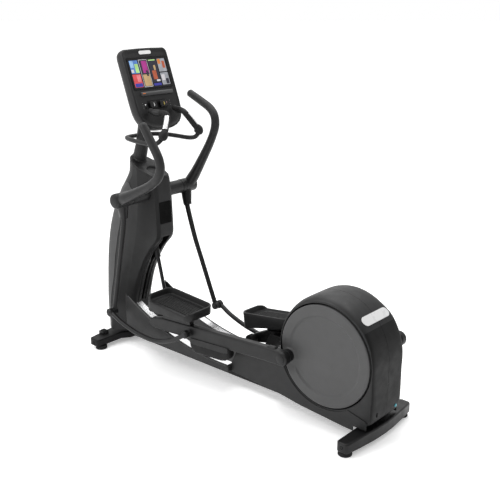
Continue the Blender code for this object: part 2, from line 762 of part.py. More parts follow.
def tower_covers(root):
    front_rings, rear_rings = [], []
    for z, values in TOWER_SECTIONS:
        half = tower_half(*values)
        fore = half[TOWER_SPLIT:]
        aft = half[: TOWER_SPLIT + 1]
        ring = fore + [(x, -y) for x, y in reversed(fore[:-1])]
        front_rings.append([tower_point(z, x, y) for x, y in ring])
        ring = [(x, -y) for x, y in reversed(aft[1:])] + aft
        ring[0] = (ring[0][0] + 0.002, ring[0][1])
        ring[-1] = (ring[-1][0] + 0.002, ring[-1][1])
        rear_rings.append([tower_point(z, x, y) for x, y in ring])
    front = loft("tower_front_cover", front_rings, closed=False, cap=False)
    rear = loft("tower_rear_cover", rear_rings, closed=False, cap=False)
    solidify(front, WALL, TOWER_INWARD)
    solidify(rear, WALL, TOWER_INWARD)
    slot = box("tower_slot", (-0.705, 0, 0.5125), (0.27, 0.046, 0.455))
    tube_hole = rod("tower_tube_hole", HUB_X, HUB_Z, 0.0415, -0.2, 0.2)
    finish(cut(rear, slot, tube_hole), root, "black_plastic")
    tube_hole = rod("tower_front_tube_hole", HUB_X, HUB_Z, 0.0415, -0.2, 0.2)
    finish(cut(front, tube_hole), root, "charcoal_plastic")


def tower_top(root):
    """The cap of the tower, with a moulded bottle cup."""
    half = tower_half(*TOWER_SECTIONS[-1][1])
    ring = half + [(x, -y) for x, y in reversed(half[1:-1])]
    rings = [[(x, y, tower_top_z(x) + up) for x, y in ring] for up in (GAP, 0.012)]
    cap = loft("tower_top", rings)
    cup = post("cup_wall", -0.667, 0, 0.0435, 1.030, 1.10, 32)
    hollow = post("cup_hollow", -0.667, 0, 0.0405, 1.034, 1.2, 32)
    finish(cut(join(cap, cup), hollow), root, "black_plastic")


def upright(root):
    """The steel column in the tower, the handlebars' cross tube and the mast above."""
    levels = [(0.095, -0.87), (0.75, -0.87), (1.125, -0.79)]
    corners = [(0.0225, 0.03), (-0.0225, 0.03), (-0.0225, -0.03), (0.0225, -0.03)]
    column = loft("tower_frame", [[(middle + x, y, z) for x, y in corners] for z, middle in levels])
    hanger = box("lift_hanger", (-0.7625, 0, 0.965), (0.085, 0.05, 0.02))
    finish(join(column, hanger), root, "charcoal_paint")
    cross = rod("handlebar_cross_tube", HUB_X, HUB_Z, 0.040, -HUB_INSIDE + GAP, HUB_INSIDE - GAP, 32)
    finish(cross, root, "charcoal_plastic")
    sections = [
        (None, -0.790, 0.042, 0.036),
        (1.25, -0.762, 0.041, 0.035),
        (1.36, -0.736, 0.040, 0.034),
        (1.44, -0.734, 0.039, 0.034),
        (1.51, -0.750, 0.040, 0.036),
    ]
    rings = []
    for z, middle, long_half, wide_half in sections:
        ring = []
        for x, y in circle(0, 0, 1.0, 24):
            px, py = middle + long_half * x, wide_half * y
            ring.append((px, py, tower_top_z(px) + 0.0125 if z is None else z))
        rings.append(ring)
    mast = loft("mast", rings)
    plate = box("console_mount", (0, 0, 0), (0.050, 0.09, 0.12))
    plate.matrix_world = console_matrix() @ Matrix.Translation((-0.1105, 0, -0.14))
    finish(join(mast, plate), root, "black_plastic")


# Console


def console_matrix():
    """The console's own directions: x out of the display, y to the user's right, z up the display."""
    return Matrix.Translation((CONSOLE_X, 0, CONSOLE_Z)) @ Matrix.Rotation(-CONSOLE_LEAN, 4, "Y")


def console_outline(inset):
    half = [
        (0.151, 0.137),
        (0.162, 0.132),
        (0.166, 0.120),
        (0.166, -0.180),
        (0.160, -0.235),
        (0.140, -0.280),
        (0.100, -0.308),
        (0.050, -0.320),
    ]
    half = [(y * (1 - inset / 0.166), z - inset * (z + 0.09) / 0.24) for y, z in half]
    return half + [(-y, z) for y, z in reversed(half)]


def console_flat(name, outline, x0, x1, holes=()):
    turn = Matrix(((0, 0, 1, 0), (1, 0, 0, 0), (0, 1, 0, 0), (0, 0, 0, 1)))
    place = console_matrix() @ Matrix.Translation(((x0 + x1) / 2, 0, 0)) @ turn
    return flat(name, outline, x1 - x0, place, holes)


def rectangle(y, z, width, height):
    return [
        (y - width / 2, z - height / 2),
        (y + width / 2, z - height / 2),
        (y + width / 2, z + height / 2),
        (y - width / 2, z + height / 2),
    ]


def console(root):
    window = rectangle(0, 0, 0.274, 0.165)
    fascia = console_flat("console_fascia", console_outline(0), -0.018, 0.0, [window])
    finish(fascia, root, "black_plastic")
    levels = [(-0.0185, 0.0), (-0.050, 0.0), (-0.075, 0.016), (-0.085, 0.040)]
    rings = [[(x, y, z) for y, z in console_outline(inset)] for x, inset in levels]
    housing = loft("console_housing", rings, matrix=console_matrix())
    hollow_rings = [[(x, y, z) for y, z in console_outline(inset)] for x, inset in ((0.01, 0.006), (-0.07, 0.022))]
    hollow = loft("console_hollow", hollow_rings, matrix=console_matrix())
    finish(cut(housing, hollow), root, "charcoal_plastic")
    display = console_flat("display_screen", rectangle(0, 0, 0.272, 0.163), -0.016, -0.003)
    finish(display, root, "screen")
    badge = console_flat("console_badge", rounded_rectangle(0.088, 0.020, 0.0098), 0.0005, 0.003)
    badge.matrix_world = badge.matrix_world @ Matrix.Translation((0, 0.112, 0))
    finish(badge, root, "white_plastic")
    for side, word in SIDE_NAMES.items():
        at = console_matrix() @ Vector((0.010, side * 0.037 - 0.009, -0.180))
        body = joint_frame(word + "_toggle_frame", at, root)
        paddle = box(word + "_toggle", at, (0.011, 0.046, 0.036), -CONSOLE_LEAN)
        finish(bevel(paddle, 0.003), body, "black_plastic")


def heart_rate_bars(root):
    """The fixed grips with hand contacts, and the hoop that wraps round the mast."""
    for side, word in SIDE_NAMES.items():
        points = [
            (-0.590, side * 0.092, 1.472, 0.0155),
            (-0.545, side * 0.086, 1.463, 0.0155),
            (-0.492, side * 0.070, 1.462, 0.0155),
            (-0.466, side * 0.070, 1.448, 0.0165),
            (-0.450, side * 0.092, 1.414, 0.0175),
            (-0.438, side * 0.114, 1.381, 0.0175),
            (-0.432, side * 0.134, 1.358, 0.0195),
            (-0.437, side * 0.142, 1.342, 0.0180),
        ]
        finish(tube(word + "_contact_grip", points), root, "rubber")
    half = [
        (-0.446, 0.1435, 1.3305, 0.0105),
        (-0.475, 0.135, 1.312, 0.0105),
        (-0.56, 0.108, 1.296, 0.0105),
        (-0.70, 0.090, 1.288, 0.0105),
        (-0.785, 0.070, 1.288, 0.0105),
        (-0.825, 0.030, 1.288, 0.0105),
    ]
    points = half + [(x, -y, z, radius) for x, y, z, radius in reversed(half)]
    finish(tube("grip_hoop", points, 2), root, "black_plastic")


def transport_wheels(root):
    for side, word in SIDE_NAMES.items():
        body = joint_frame(word + "_wheel_frame", (-0.985, side * 0.18, 0.062), root)
        wheel = side_plate(
            word + "_transport_wheel",
            circle(-0.985, 0.062, 0.030, 28),
            side * 0.167,
            side * 0.193,
            [circle(-0.985, 0.062, 0.0046, 12)],
        )
        finish(bevel(wheel, 0.003, 1), body, "rubber")


def build():
    clear_scene()
    make_materials()
    root = joint_frame("elliptical_trainer_root", (0, 0, 0), None)
    base_frame(root)
    crossfeet(root)
    side_panels(root)
    drive_covers(root)
    crank(root)
    ramp_body = ramp(root)
    lift(root)
    for side in (LEFT, RIGHT):
        carriage(side, ramp_body)
        handlebar(side, root)
    tower_covers(root)
    tower_top(root)
    upright(root)
    console(root)
    heart_rate_bars(root)
    transport_wheels(root)
    for cutter in cutters.objects:
        cutter.parent = root
    root.location.x = ORIGIN_SHIFT


model = new_collection("elliptical_trainer")
cutters = new_collection("cutters")
build()
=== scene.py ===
"""The looks of the elliptical trainer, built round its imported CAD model.

Metres, +Z up. +X points to the rear, where the drive is, and -X to the front, where the console is.
The user faces -X, so left is -Y. Shapes are written in the CAD source's coordinates and moved by SHIFT.
"""

from math import atan2, copysign, cos, degrees, hypot, inf, pi, radians, sin, sqrt

import bmesh
import bpy
from mathutils import Matrix, Vector


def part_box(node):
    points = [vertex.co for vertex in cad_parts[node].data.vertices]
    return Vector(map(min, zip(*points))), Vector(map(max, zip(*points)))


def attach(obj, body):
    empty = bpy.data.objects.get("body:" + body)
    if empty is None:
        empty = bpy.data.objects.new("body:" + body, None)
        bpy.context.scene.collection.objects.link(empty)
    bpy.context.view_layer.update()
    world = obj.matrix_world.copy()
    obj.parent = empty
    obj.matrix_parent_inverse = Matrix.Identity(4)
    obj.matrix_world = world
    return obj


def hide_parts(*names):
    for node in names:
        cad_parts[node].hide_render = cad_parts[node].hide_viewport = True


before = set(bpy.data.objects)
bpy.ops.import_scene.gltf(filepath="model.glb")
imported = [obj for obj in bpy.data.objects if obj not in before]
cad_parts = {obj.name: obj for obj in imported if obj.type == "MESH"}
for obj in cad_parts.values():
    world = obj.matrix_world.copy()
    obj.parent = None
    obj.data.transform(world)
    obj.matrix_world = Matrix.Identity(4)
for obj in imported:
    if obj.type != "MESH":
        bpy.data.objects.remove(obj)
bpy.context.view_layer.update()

LEFT, RIGHT = -1, 1
SIDES = ((LEFT, "left"), (RIGHT, "right"))

# The linkage, as in the CAD
CRANK_X, CRANK_Z = 0.67, 0.396
CRANK_RADIUS = 0.222
CRANK_PHASE = radians(14)
TRACK_X, TRACK_Z = -0.003, 1.645
TRACK_RADIUS = 1.485
ROLLER_RADIUS = 0.035
ARM_LENGTH = 0.95
LINK_JOINT = 0.3
HUB_X, HUB_Z = -0.662, 0.985
LEVER_LENGTH = 0.747
LINK_LENGTH = 0.645
PEDAL_TILT = radians(8)

# Distances from the middle plane
PANEL_INSIDE, PANEL_OUTSIDE = 0.1565, 0.1625
SHROUD_INSIDE, SHROUD_OUTSIDE = 0.1335, 0.1375
ARM_INSIDE, ARM_OUTSIDE = 0.1655, 0.21
LINK_INSIDE, LINK_OUTSIDE = 0.222, 0.25
DISC_INSIDE, DISC_OUTSIDE = 0.12, 0.14
HUB_INSIDE = 0.1905

DISC_RADIUS, DISC_OPENING = 0.264, 0.272
CONSOLE_X, CONSOLE_Z = -0.67, 1.6645
CONSOLE_LEAN = radians(20)
TOWER_FOOT_Z, TOWER_CAP_Z = 0.1, 1.13
SLOT_LOW_Z, SLOT_HIGH_Z = 0.285, 0.735

shaft_low, shaft_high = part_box("crank_shaft")
SHIFT = (shaft_low.x + shaft_high.x) / 2 - CRANK_X

# Turns an outline's X, Y and Z to the world's Y, Z and X, so that it faces the rear
FACING_REAR = Matrix(((0, 0, 1, 0), (1, 0, 0, 0), (0, 1, 0, 0), (0, 0, 0, 1)))


def moved(spot):
    return Matrix.Translation(spot)


def tilted(angle):
    return Matrix.Rotation(angle, 4, "Y")


# Camera

camera_data = bpy.data.cameras.new("camera")
camera_data.lens = 58.8
camera_data.sensor_width = 36
camera_data.clip_start, camera_data.clip_end = 0.05, 60
camera = bpy.data.objects.new("camera", camera_data)
camera.location = (2.806 + SHIFT, -3.099, 2.089)
camera.rotation_euler = (radians(72.49), 0, radians(41.44))
bpy.context.scene.collection.objects.link(camera)
bpy.context.scene.camera = camera


# Materials


def wire(tree, node, inputs):
    """Sets a node's inputs, each to a value or to another node's output."""
    for name, value in inputs.items():
        if isinstance(value, bpy.types.NodeSocket):
            tree.links.new(value, node.inputs[name])
        else:
            node.inputs[name].default_value = value
    return node


def add(tree, kind, inputs):
    """A new node, with its inputs set."""
    return wire(tree, tree.nodes.new("ShaderNode" + kind), inputs)


def noise(tree, place, scale, detail=2.0):
    return add(tree, "TexNoise", {"Vector": place, "Scale": scale, "Detail": detail}).outputs["Fac"]


def remap(tree, value, old, new):
    inputs = {"Value": value, "From Min": old[0], "From Max": old[1], "To Min": new[0], "To Max": new[1]}
    return add(tree, "MapRange", inputs).outputs["Result"]


def tones(tree, value, colour, dark, light, spread=(0.0, 1.0)):
    """The colour, from dark to light times its own brightness."""
    ramp = add(tree, "ValToRGB", {"Fac": value})
    for stop, position, level in zip(ramp.color_ramp.elements, spread, (dark, light)):
        stop.position = position
        stop.color = (*[c * level for c in colour], 1)
    return ramp.outputs["Color"]


def relief(tree, height, strength, distance):
    return add(tree, "Bump", {"Height": height, "Strength": strength, "Distance": distance}).outputs["Normal"]


def surface(name):
    """A new material, its shader and its object coordinates."""
    made = bpy.data.materials.new(name)
    made.use_nodes = True
    tree = made.node_tree
    return made, tree, tree.nodes["Principled BSDF"], add(tree, "TexCoord", {}).outputs["Object"]


def shade(name, colour, roughness, variation=0.1, grain=700.0, bump=0.1, spread=0.06, gloss=0.3):
    """A moulded or painted surface: slow changes of colour and roughness, and a fine grain in the bump."""
    made, tree, shader, place = surface(name)
    middle = (0.3, 0.7)
    slow = noise(tree, place, 5.0, 4.0)
    patches = noise(tree, place, 23.0, 5.0)
    fine = noise(tree, place, grain, 3.0)
    wire(tree, shader, {
        "Base Color": tones(tree, slow, colour, 1 - variation, 1 + variation, middle),
        "Roughness": remap(tree, patches, middle, (roughness - spread, roughness + spread)),
        "Specular IOR Level": gloss,
        "Normal": relief(tree, fine, bump, 0.0004),
    })
    return made


def brushed(name, colour, roughness, stretch=(3.0, 260.0, 260.0), spread=0.08, bump=0.08, darkest=0.82):
    """Brushed steel: fine scratches along the axis that is stretched least."""
    made, tree, shader, place = surface(name)
    drawn = add(tree, "Mapping", {"Vector": place, "Scale": stretch}).outputs["Vector"]
    scratches = noise(tree, drawn, 2.0, 6.0)
    wire(tree, shader, {
        "Base Color": tones(tree, scratches, colour, darkest, 1.0),
        "Roughness": remap(tree, scratches, (0.0, 1.0), (roughness - spread, roughness + spread)),
        "Metallic": 1.0,
        "Normal": relief(tree, scratches, bump, 0.0003),
    })
    return made


def lit(name, colour, strength):
    """A lit area behind glass, with soft bands of brightness."""
    made = shade(name, [c * 0.5 for c in colour], 0.12, bump=0.01, spread=0.02)
    tree = made.node_tree
    place = add(tree, "TexCoord", {}).outputs["Object"]
    glow = tones(tree, noise(tree, place, 38.0), colour, 0.6, 1.0, (0.35, 0.65))
    wire(tree, tree.nodes["Principled BSDF"], {"Emission Color": glow, "Emission Strength": strength})
    return made


BODY = shade("body_plastic", (0.0095, 0.0095, 0.0098), 0.48)
# painted shade: a darker copy of the body plastic, for faces that the lamps light too brightly
PAINTED_SHADE = shade("painted_shade_plastic", (0.003, 0.003, 0.0032), 0.55, gloss=0.2)
DARK = shade("dark_plastic", (0.0062, 0.0062, 0.0065), 0.5)
BLACK = shade("black_plastic", (0.0018, 0.0018, 0.002), 0.36, gloss=0.2)
GREY = shade("grey_plastic", (0.062, 0.062, 0.0625), 0.55, variation=0.04)
PANEL_GREY = shade("panel_plastic", (0.046, 0.046, 0.0465), 0.52, variation=0.05)
PAINT = shade("satin_paint", (0.0058, 0.0058, 0.0061), 0.44, grain=420, bump=0.16, gloss=0.28)
LEVER = shade("lever_paint", (0.0062, 0.0062, 0.0065), 0.42, grain=420, bump=0.12, gloss=0.28)
GRIP = shade("grip_foam", (0.009, 0.009, 0.0093), 0.58, grain=1300, bump=0.3, gloss=0.35)
RUBBER = shade("rubber", (0.005, 0.005, 0.0052), 0.72, grain=900, bump=0.35)
TREAD = shade("tread_rubber", (0.012, 0.012, 0.012), 0.6, grain=1100, bump=0.3)
SEAM = shade("seam_shadow", (0.0015, 0.0015, 0.0015), 0.8, gloss=0.1)
WHITE = shade("white_badge", (0.62, 0.62, 0.62), 0.3, variation=0.02, bump=0.03, gloss=0.5)
GLASS = shade(
    "screen_glass", (0.004, 0.004, 0.005), 0.1, variation=0.05, bump=0.01, spread=0.02, gloss=0.4
)
STEEL = brushed("brushed_steel", (0.6, 0.6, 0.61), 0.3)
DARK_STEEL = brushed("blackened_steel", (0.035, 0.035, 0.037), 0.4)
POLISHED = brushed(
    "polished_track", (0.92, 0.92, 0.93), 0.26, stretch=(2.0, 60.0, 60.0), spread=0.02, bump=0.01, darkest=0.95
)
CHROME = brushed("contact_metal", (0.86, 0.86, 0.86), 0.3, stretch=(260.0, 260.0, 3.0))


# Shapes. Each function gives a new bmesh, or adds to the one that it is given.


def piece(name, bm, material, body="base", replaces=None, smooth=35, matrix=None):
    """A finished piece from a bmesh, in place, riding on a CAD body and standing for at most one CAD node."""
    if matrix is not None:
        bmesh.ops.transform(bm, matrix=matrix, verts=bm.verts)
    bmesh.ops.translate(bm, vec=(SHIFT, 0, 0), verts=bm.verts)
    bmesh.ops.recalc_face_normals(bm, faces=bm.faces)
    mesh = bpy.data.meshes.new(name)
    bm.to_mesh(mesh)
    bm.free()
    obj = bpy.data.objects.new(name, mesh)
    bpy.context.scene.collection.objects.link(obj)
    mesh.materials.append(material)
    mesh.shade_smooth()
    mesh.set_sharp_from_angle(angle=radians(smooth))
    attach(obj, body)
    if replaces:
        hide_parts(replaces)
    return obj


def round_edges(obj, width, segments=3, angle=35):
    modifier = obj.modifiers.new("Bevel", "BEVEL")
    modifier.width = width
    modifier.segments = segments
    modifier.limit_method = "ANGLE"
    modifier.angle_limit = radians(angle)
    modifier.harden_normals = False


def spaced(first, last, steps):
    return [first + (last - first) * step / steps for step in range(steps + 1)]


def full_turn(count):
    return [2 * pi * step / count for step in range(count)]


def smooth_step(value, low, high):
    t = max(0.0, min(1.0, (value - low) / (high - low)))
    return t * t * (3 - 2 * t)


def hermite(a, b, slope_a, slope_b, t):
    """A point between a and b on the curve that leaves and reaches them with the given slopes."""
    return (
        a * (2 * t**3 - 3 * t * t + 1)
        + slope_a * (t**3 - 2 * t * t + t)
        + b * (-2 * t**3 + 3 * t * t)
        + slope_b * (t**3 - t * t)
    )


def between(a, b, c, d, t):
    """A point between b and c on the smooth curve through a, b, c and d."""
    return hermite(b, c, (c - a) / 2, (d - b) / 2, t)


def smooth_path(points, steps):
    """Points on a smooth curve through the given points, whatever their length."""
    rows = [Vector(point) for point in points]
    rows = [2 * rows[0] - rows[1], *rows, 2 * rows[-1] - rows[-2]]
    path = []
    for four in zip(rows, rows[1:], rows[2:], rows[3:]):
        path += [between(*four, step / steps) for step in range(steps)]
    return [*path, rows[-2]]


def directions(path):
    """The unit direction of a path at each of its points."""
    last = len(path) - 1
    return [(path[min(i + 1, last)] - path[max(i - 1, 0)]).normalized() for i in range(last + 1)]


def skin(rings, closed=True, cap=True, bm=None):
    """Faces through rings of equally many points."""
    bm = bm or bmesh.new()
    rows = [[bm.verts.new(point) for point in ring] for ring in rings]
    count = len(rows[0])
    for lower, upper in zip(rows, rows[1:]):
        for i in range(count if closed else count - 1):
            j = (i + 1) % count
            bm.faces.new((lower[i], lower[j], upper[j], upper[i]))
    if cap:
        bm.faces.new(reversed(rows[0]))
        bm.faces.new(rows[-1])
    return bm


def plate(outer, inner):
    """A thin plate between two grids of points."""
    bm = bmesh.new()
    front, back = [[[bm.verts.new(point) for point in row] for row in rows] for rows in (outer, inner)]
    last = len(front[0]) - 1
    for rows in (front, back):
        for a, b in zip(rows, rows[1:]):
            for i in range(last):
                bm.faces.new((a[i], a[i + 1], b[i + 1], b[i]))
    for a, b, c, d in zip(front, front[1:], back, back[1:]):
        bm.faces.new((a[0], b[0], d[0], c[0]))
        bm.faces.new((a[-1], b[-1], d[-1], c[-1]))
    for row, other in ((front[0], back[0]), (front[-1], back[-1])):
        for i in range(last):
            bm.faces.new((row[i], row[i + 1], other[i + 1], other[i]))
    return bm


def tube(points, steps=6, sides=24, domed=(True, True), bm=None):
    """A round bar through points of (x, y, z, radius). Each end is domed or cut flat."""
    path = smooth_path(points, steps)
    spots = [Vector(point[:3]) for point in path]
    slopes = [radians(angle) for angle in (80, 60, 40, 20)]
    turns = full_turn(sides)
    rings = []
    normal = None
    for i, (spot, tangent) in enumerate(zip(spots, directions(spots))):
        radius = path[i][3]
        if normal is None:
            normal = tangent.orthogonal().normalized()
        normal = (normal - tangent * normal.dot(tangent)).normalized()
        side = tangent.cross(normal)
        levels = [(0.0, radius)]
        if i == 0 and domed[0]:
            levels = [(0.7 * radius * (1 - sin(a)), radius * cos(a)) for a in slopes]
        if i == len(spots) - 1 and domed[1]:
            levels = [(-0.7 * radius * (1 - sin(a)), radius * cos(a)) for a in reversed(slopes)]
        for along, wide in levels:
            centre = spot + tangent * along
            rings.append([centre + normal * (wide * cos(t)) + side * (wide * sin(t)) for t in turns])
    return skin(rings, bm=bm)


def lathe(profile, matrix, sides=48):
    """A turned shape with closed ends: profile of (distance from the axis, height) about the matrix's Z."""
    turns = full_turn(sides)
    rings = []
    for radius, height in profile:
        rings.append([matrix @ Vector((radius * cos(t), radius * sin(t), height)) for t in turns])
    return skin(rings)


def across(spot, side, y=0.0):
    """Directions for lathe, with the axis along Y, outwards on the given side."""
    return moved((spot[0], y, spot[1])) @ Matrix.Rotation(-side * pi / 2, 4, "X")


def slab(outline, thickness, matrix, holes=()):
    """An extruded flat outline in the matrix's XY plane, centred on it."""
    curve = bpy.data.curves.new("outline", "CURVE")
    curve.dimensions = "2D"
    curve.fill_mode = "BOTH"
    curve.extrude = thickness / 2
    for points in (outline, *holes):
        spline = curve.splines.new("POLY")
        spline.points.add(len(points) - 1)
        for point, (u, v) in zip(spline.points, points):
            point.co = (u, v, 0, 1)
        spline.use_cyclic_u = True
    source = bpy.data.objects.new("outline", curve)
    bpy.context.scene.collection.objects.link(source)
    graph = bpy.context.evaluated_depsgraph_get()
    mesh = bpy.data.meshes.new_from_object(source.evaluated_get(graph))
    bpy.data.objects.remove(source)
    mesh.transform(matrix)
    bm = bmesh.new()
    bm.from_mesh(mesh)
    bpy.data.meshes.remove(mesh)
    bmesh.ops.remove_doubles(bm, verts=bm.verts, dist=1e-6)
    flat = radians(0.5)
    bmesh.ops.dissolve_limit(bm, angle_limit=flat, verts=bm.verts, edges=bm.edges, delimit=set())
    return bm


def side_slab(outline, y0, y1, place=Matrix()):
    """A slab with its outline in the XZ plane of a place, from y0 to y1."""
    upright = moved((0, (y0 + y1) / 2, 0)) @ Matrix.Rotation(pi / 2, 4, "X")
    return slab(outline, abs(y1 - y0), place @ upright)


def floor_slab(outline, z0, z1):
    return slab(outline, z1 - z0, moved((0, 0, (z0 + z1) / 2)))


def block(centre, size, tilt=0.0, bm=None):
    bm = bm or bmesh.new()
    matrix = moved(centre) @ tilted(tilt) @ Matrix.Diagonal((*size, 1.0))
    bmesh.ops.create_cube(bm, size=1.0, matrix=matrix)
    return bm


def rounded_rectangle(length, width, radius, steps=6):
    points = []
    for corner, (u, v) in enumerate(((1, 1), (-1, 1), (-1, -1), (1, -1))):
        for angle in spaced(pi / 2 * corner, pi / 2 * (corner + 1), steps):
            x, y = u * (length / 2 - radius), v * (width / 2 - radius)
            points.append((x + radius * cos(angle), y + radius * sin(angle)))
    return points


def mirrored(outline):
    return outline + [(x, -y) for x, y in reversed(outline) if y > 1e-6]


def on_side(side, points):
    """Points of a bar that are written for the right side, put on a side."""
    return [(x, side * y, z, radius) for x, y, z, radius in points]


# Linkage geometry


def meet(first, first_radius, second, second_radius):
    """The two points that lie on both circles, the lower one first."""
    first, second = Vector(first), Vector(second)
    apart = second - first
    along = (first_radius**2 - second_radius**2 + apart.length_squared) / (2 * apart.length)
    offset = sqrt(first_radius**2 - along**2)
    middle = first + apart.normalized() * along
    sideways = Vector((-apart.y, apart.x)).normalized() * offset
    return sorted((middle + sideways, middle - sideways), key=lambda point: point.y)


def about_crank(radius, angle, y=0.0):
    return Vector((CRANK_X + radius * cos(angle), y, CRANK_Z + radius * sin(angle)))


def crank_pin(side):
    return about_crank(CRANK_RADIUS, CRANK_PHASE + (pi if side == LEFT else 0)).xz


def roller_axle(side):
    return meet(crank_pin(side), ARM_LENGTH, (TRACK_X, TRACK_Z), TRACK_RADIUS - ROLLER_RADIUS)[0]


def arm_slope(side):
    rise = crank_pin(side) - roller_axle(side)
    return atan2(rise.y, rise.x)


def arm_point(side, along, up=0.0):
    turned = Vector((along, up))
    turned.rotate(Matrix.Rotation(arm_slope(side), 2))
    return roller_axle(side) + turned


def arm_matrix(side):
    """The arm's own directions: X along it to the rear, Z up, from the roller's axle."""
    axle = roller_axle(side)
    return moved((axle.x, 0, axle.y)) @ tilted(-arm_slope(side))


def lever_end(side):
    points = meet((HUB_X, HUB_Z), LEVER_LENGTH, arm_point(side, LINK_JOINT), LINK_LENGTH)
    return min(points, key=lambda point: point.x)


def track_arc(radius, x0, x1, count):
    return [(x, TRACK_Z - sqrt(radius**2 - (x - TRACK_X) ** 2)) for x in spaced(x0, x1, count - 1)]


# CAD nodes that stay


def carried_over():
    materials = {
        "base_frame": PAINT, "ramp_frame": DARK, "tower_frame": PAINT, "lift_tube": PAINT,
        "lift_rod": DARK_STEEL, "ramp_pivot_pin": STEEL, "crank_shaft": STEEL, "generator": DARK_STEEL,
        "drive_belt": RUBBER, "handlebar_cross_tube": BODY, "mast": DARK,
    }
    pairs = {
        "crank_bearing": STEEL, "track_strip": POLISHED, "roller_axle": DARK_STEEL, "arm_bush": DARK_STEEL,
        "hub_shaft": DARK_STEEL, "link_pin": DARK_STEEL,
    }
    for _, word in SIDES:
        materials.update({f"{word}_{name}": material for name, material in pairs.items()})
    for name, material in materials.items():
        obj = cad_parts[name]
        obj.data.materials.clear()
        obj.data.materials.append(material)


# Rear housing and crank discs

# The covers' rounded edge as (distance from the middle plane, how far the outline is drawn in)
SOFT_EDGE = [
    (0.0006, 0.0), (0.055, 0.0), (0.09, 0.0012), (0.104, 0.0042), (0.115, 0.0085), (0.1225, 0.013),
    (0.128, 0.0175), (0.1315, 0.022), (0.133, 0.0265),
]
CRISP_EDGE = [
    (0.0006, 0.0), (0.06, 0.0), (0.1, 0.0004), (0.114, 0.001), (0.122, 0.0024), (0.1268, 0.0046),
    (0.13, 0.0074), (0.132, 0.0105), (0.133, 0.014),
]


def housing_reach(angle):
    """The housing's outline, as a distance from the crank's axle."""
    if sin(angle) >= 0:
        return 0.305 - 0.02 * cos(angle) ** 2
    return (abs(cos(angle) / 0.285) ** 12 + abs(sin(angle) / 0.3) ** 12) ** (-1 / 12)


def cover_edge(angle, soft, crisp):
    """A point of the cover's edge as (reach, y): crisp at the rear, soft elsewhere, narrower by the disc."""
    turn = degrees(angle)
    rear = smooth_step(turn, 66, 40) if turn < 180 else smooth_step(turn, 262, 300)
    y, inset = [a + (b - a) * rear for a, b in zip(soft, crisp)]
    deepest = SOFT_EDGE[-1][1] + (CRISP_EDGE[-1][1] - SOFT_EDGE[-1][1]) * rear
    reach = housing_reach(angle)
    room = max(0.25, min(1.0, (reach - DISC_OPENING - 0.004) / max(inset, deepest)))
    return reach - inset * room, y


def drive_covers():
    angles = [turn + pi / 180 for turn in full_turn(180)]
    for side, word in SIDES:
        rings = []
        for soft, crisp in zip(SOFT_EDGE, CRISP_EDGE):
            edge = [(angle, *cover_edge(angle, soft, crisp)) for angle in angles]
            rings.append([about_crank(reach, angle, side * y) for angle, reach, y in edge])
        for y, reach in ((0.133, DISC_OPENING + 0.002), (0.1318, DISC_OPENING), (0.112, DISC_OPENING)):
            rings.append([about_crank(reach, angle, side * y) for angle in angles])
        bm = skin(rings, cap=False)
        # the ramp enters through the low front
        middles = [(face, face.calc_center_median()) for face in bm.faces]
        doomed = [face for face, at in middles if at.x < 0.425 and at.z < 0.395 and abs(at.y) < 0.118]
        bmesh.ops.delete(bm, geom=doomed, context="FACES")
        shell = piece(word + "_drive_cover_shell", bm, BODY, "base", word + "_drive_cover", 50)
        # painted shade: the faces on the housing's rear take the darker copy of the plastic, so the rear face
        # looks less lit
        shell.data.materials.append(PAINTED_SHADE)
        for face in shell.data.polygons:
            turn = degrees(atan2(face.center.z - CRANK_Z, face.center.x - SHIFT - CRANK_X))
            face.material_index = int(-56 < turn < 40 and face.normal.x > 0.6)
        reach = DISC_OPENING - 0.0005
        well = [(reach, 0.1175), (reach, 0.119), (0.1, 0.119), (0.1, 0.1175)]
        piece(word + "_disc_well", lathe(well, across((CRANK_X, CRANK_Z), side), 96), SEAM)


def disc_relief(point, pin):
    """How far the disc's face lies inside its outermost plane: dished in its rim and raised round the pin."""
    radius = hypot(point.x - CRANK_X, point.z - CRANK_Z)
    from_pin = hypot(point.x - pin.x, point.z - pin.y)
    dish = 0.0062 * smooth_step(radius, 0.212, 0.202) + 0.003 * smooth_step(radius, 0.2585, 0.264)
    near_pin = smooth_step(from_pin, 0.115, 0.045)
    return dish * (1 - near_pin) + 0.0085 * near_pin * smooth_step(from_pin, 0.03, 0.04)


def crank_discs():
    turns = full_turn(180)
    for side, word in SIDES:
        rings = []
        for part in spaced(0.004, 1.0, 60):
            ring = [about_crank(DISC_RADIUS * part, turn) for turn in turns]
            for point in ring:
                point.y = side * (DISC_OUTSIDE - disc_relief(point, crank_pin(side)))
            rings.append(ring)
        for radius, up in ((DISC_RADIUS, 0.001), (DISC_RADIUS - 0.002, 0.0), (0.03, 0.0)):
            rings.append([about_crank(radius, turn, side * (DISC_INSIDE + up)) for turn in turns])
        piece(word + "_crank_disc_face", skin(rings), GREY, "crank", word + "_crank_disc", 40)


def rear_badge():
    angle = radians(48.7)
    place = moved(about_crank(housing_reach(angle) + 0.0012, angle))
    place = place @ tilted(-angle) @ FACING_REAR
    pill = slab(rounded_rectangle(0.212, 0.05, 0.0249, 10), 0.004, place)
    round_edges(piece("rear_badge_pill", pill, WHITE, "base", "rear_badge"), 0.0012)


def rear_details():
    """The power socket's cover and the pilot light, low on the rear face."""
    round_edges(piece("rear_slot", block((0.9535, -0.083, 0.16), (0.003, 0.01, 0.022)), SEAM), 0.001, 2)
    profile = [(0.0085, 0), (0.0085, 0.002), (0.007, 0.0032), (0.002, 0.0036)]
    place = moved((0.9525, 0.085, 0.146)) @ tilted(pi / 2)
    piece("pilot_light", lathe(profile, place, 24), lit("pilot_cyan", (0.06, 0.4, 0.48), 0.2))


# Base


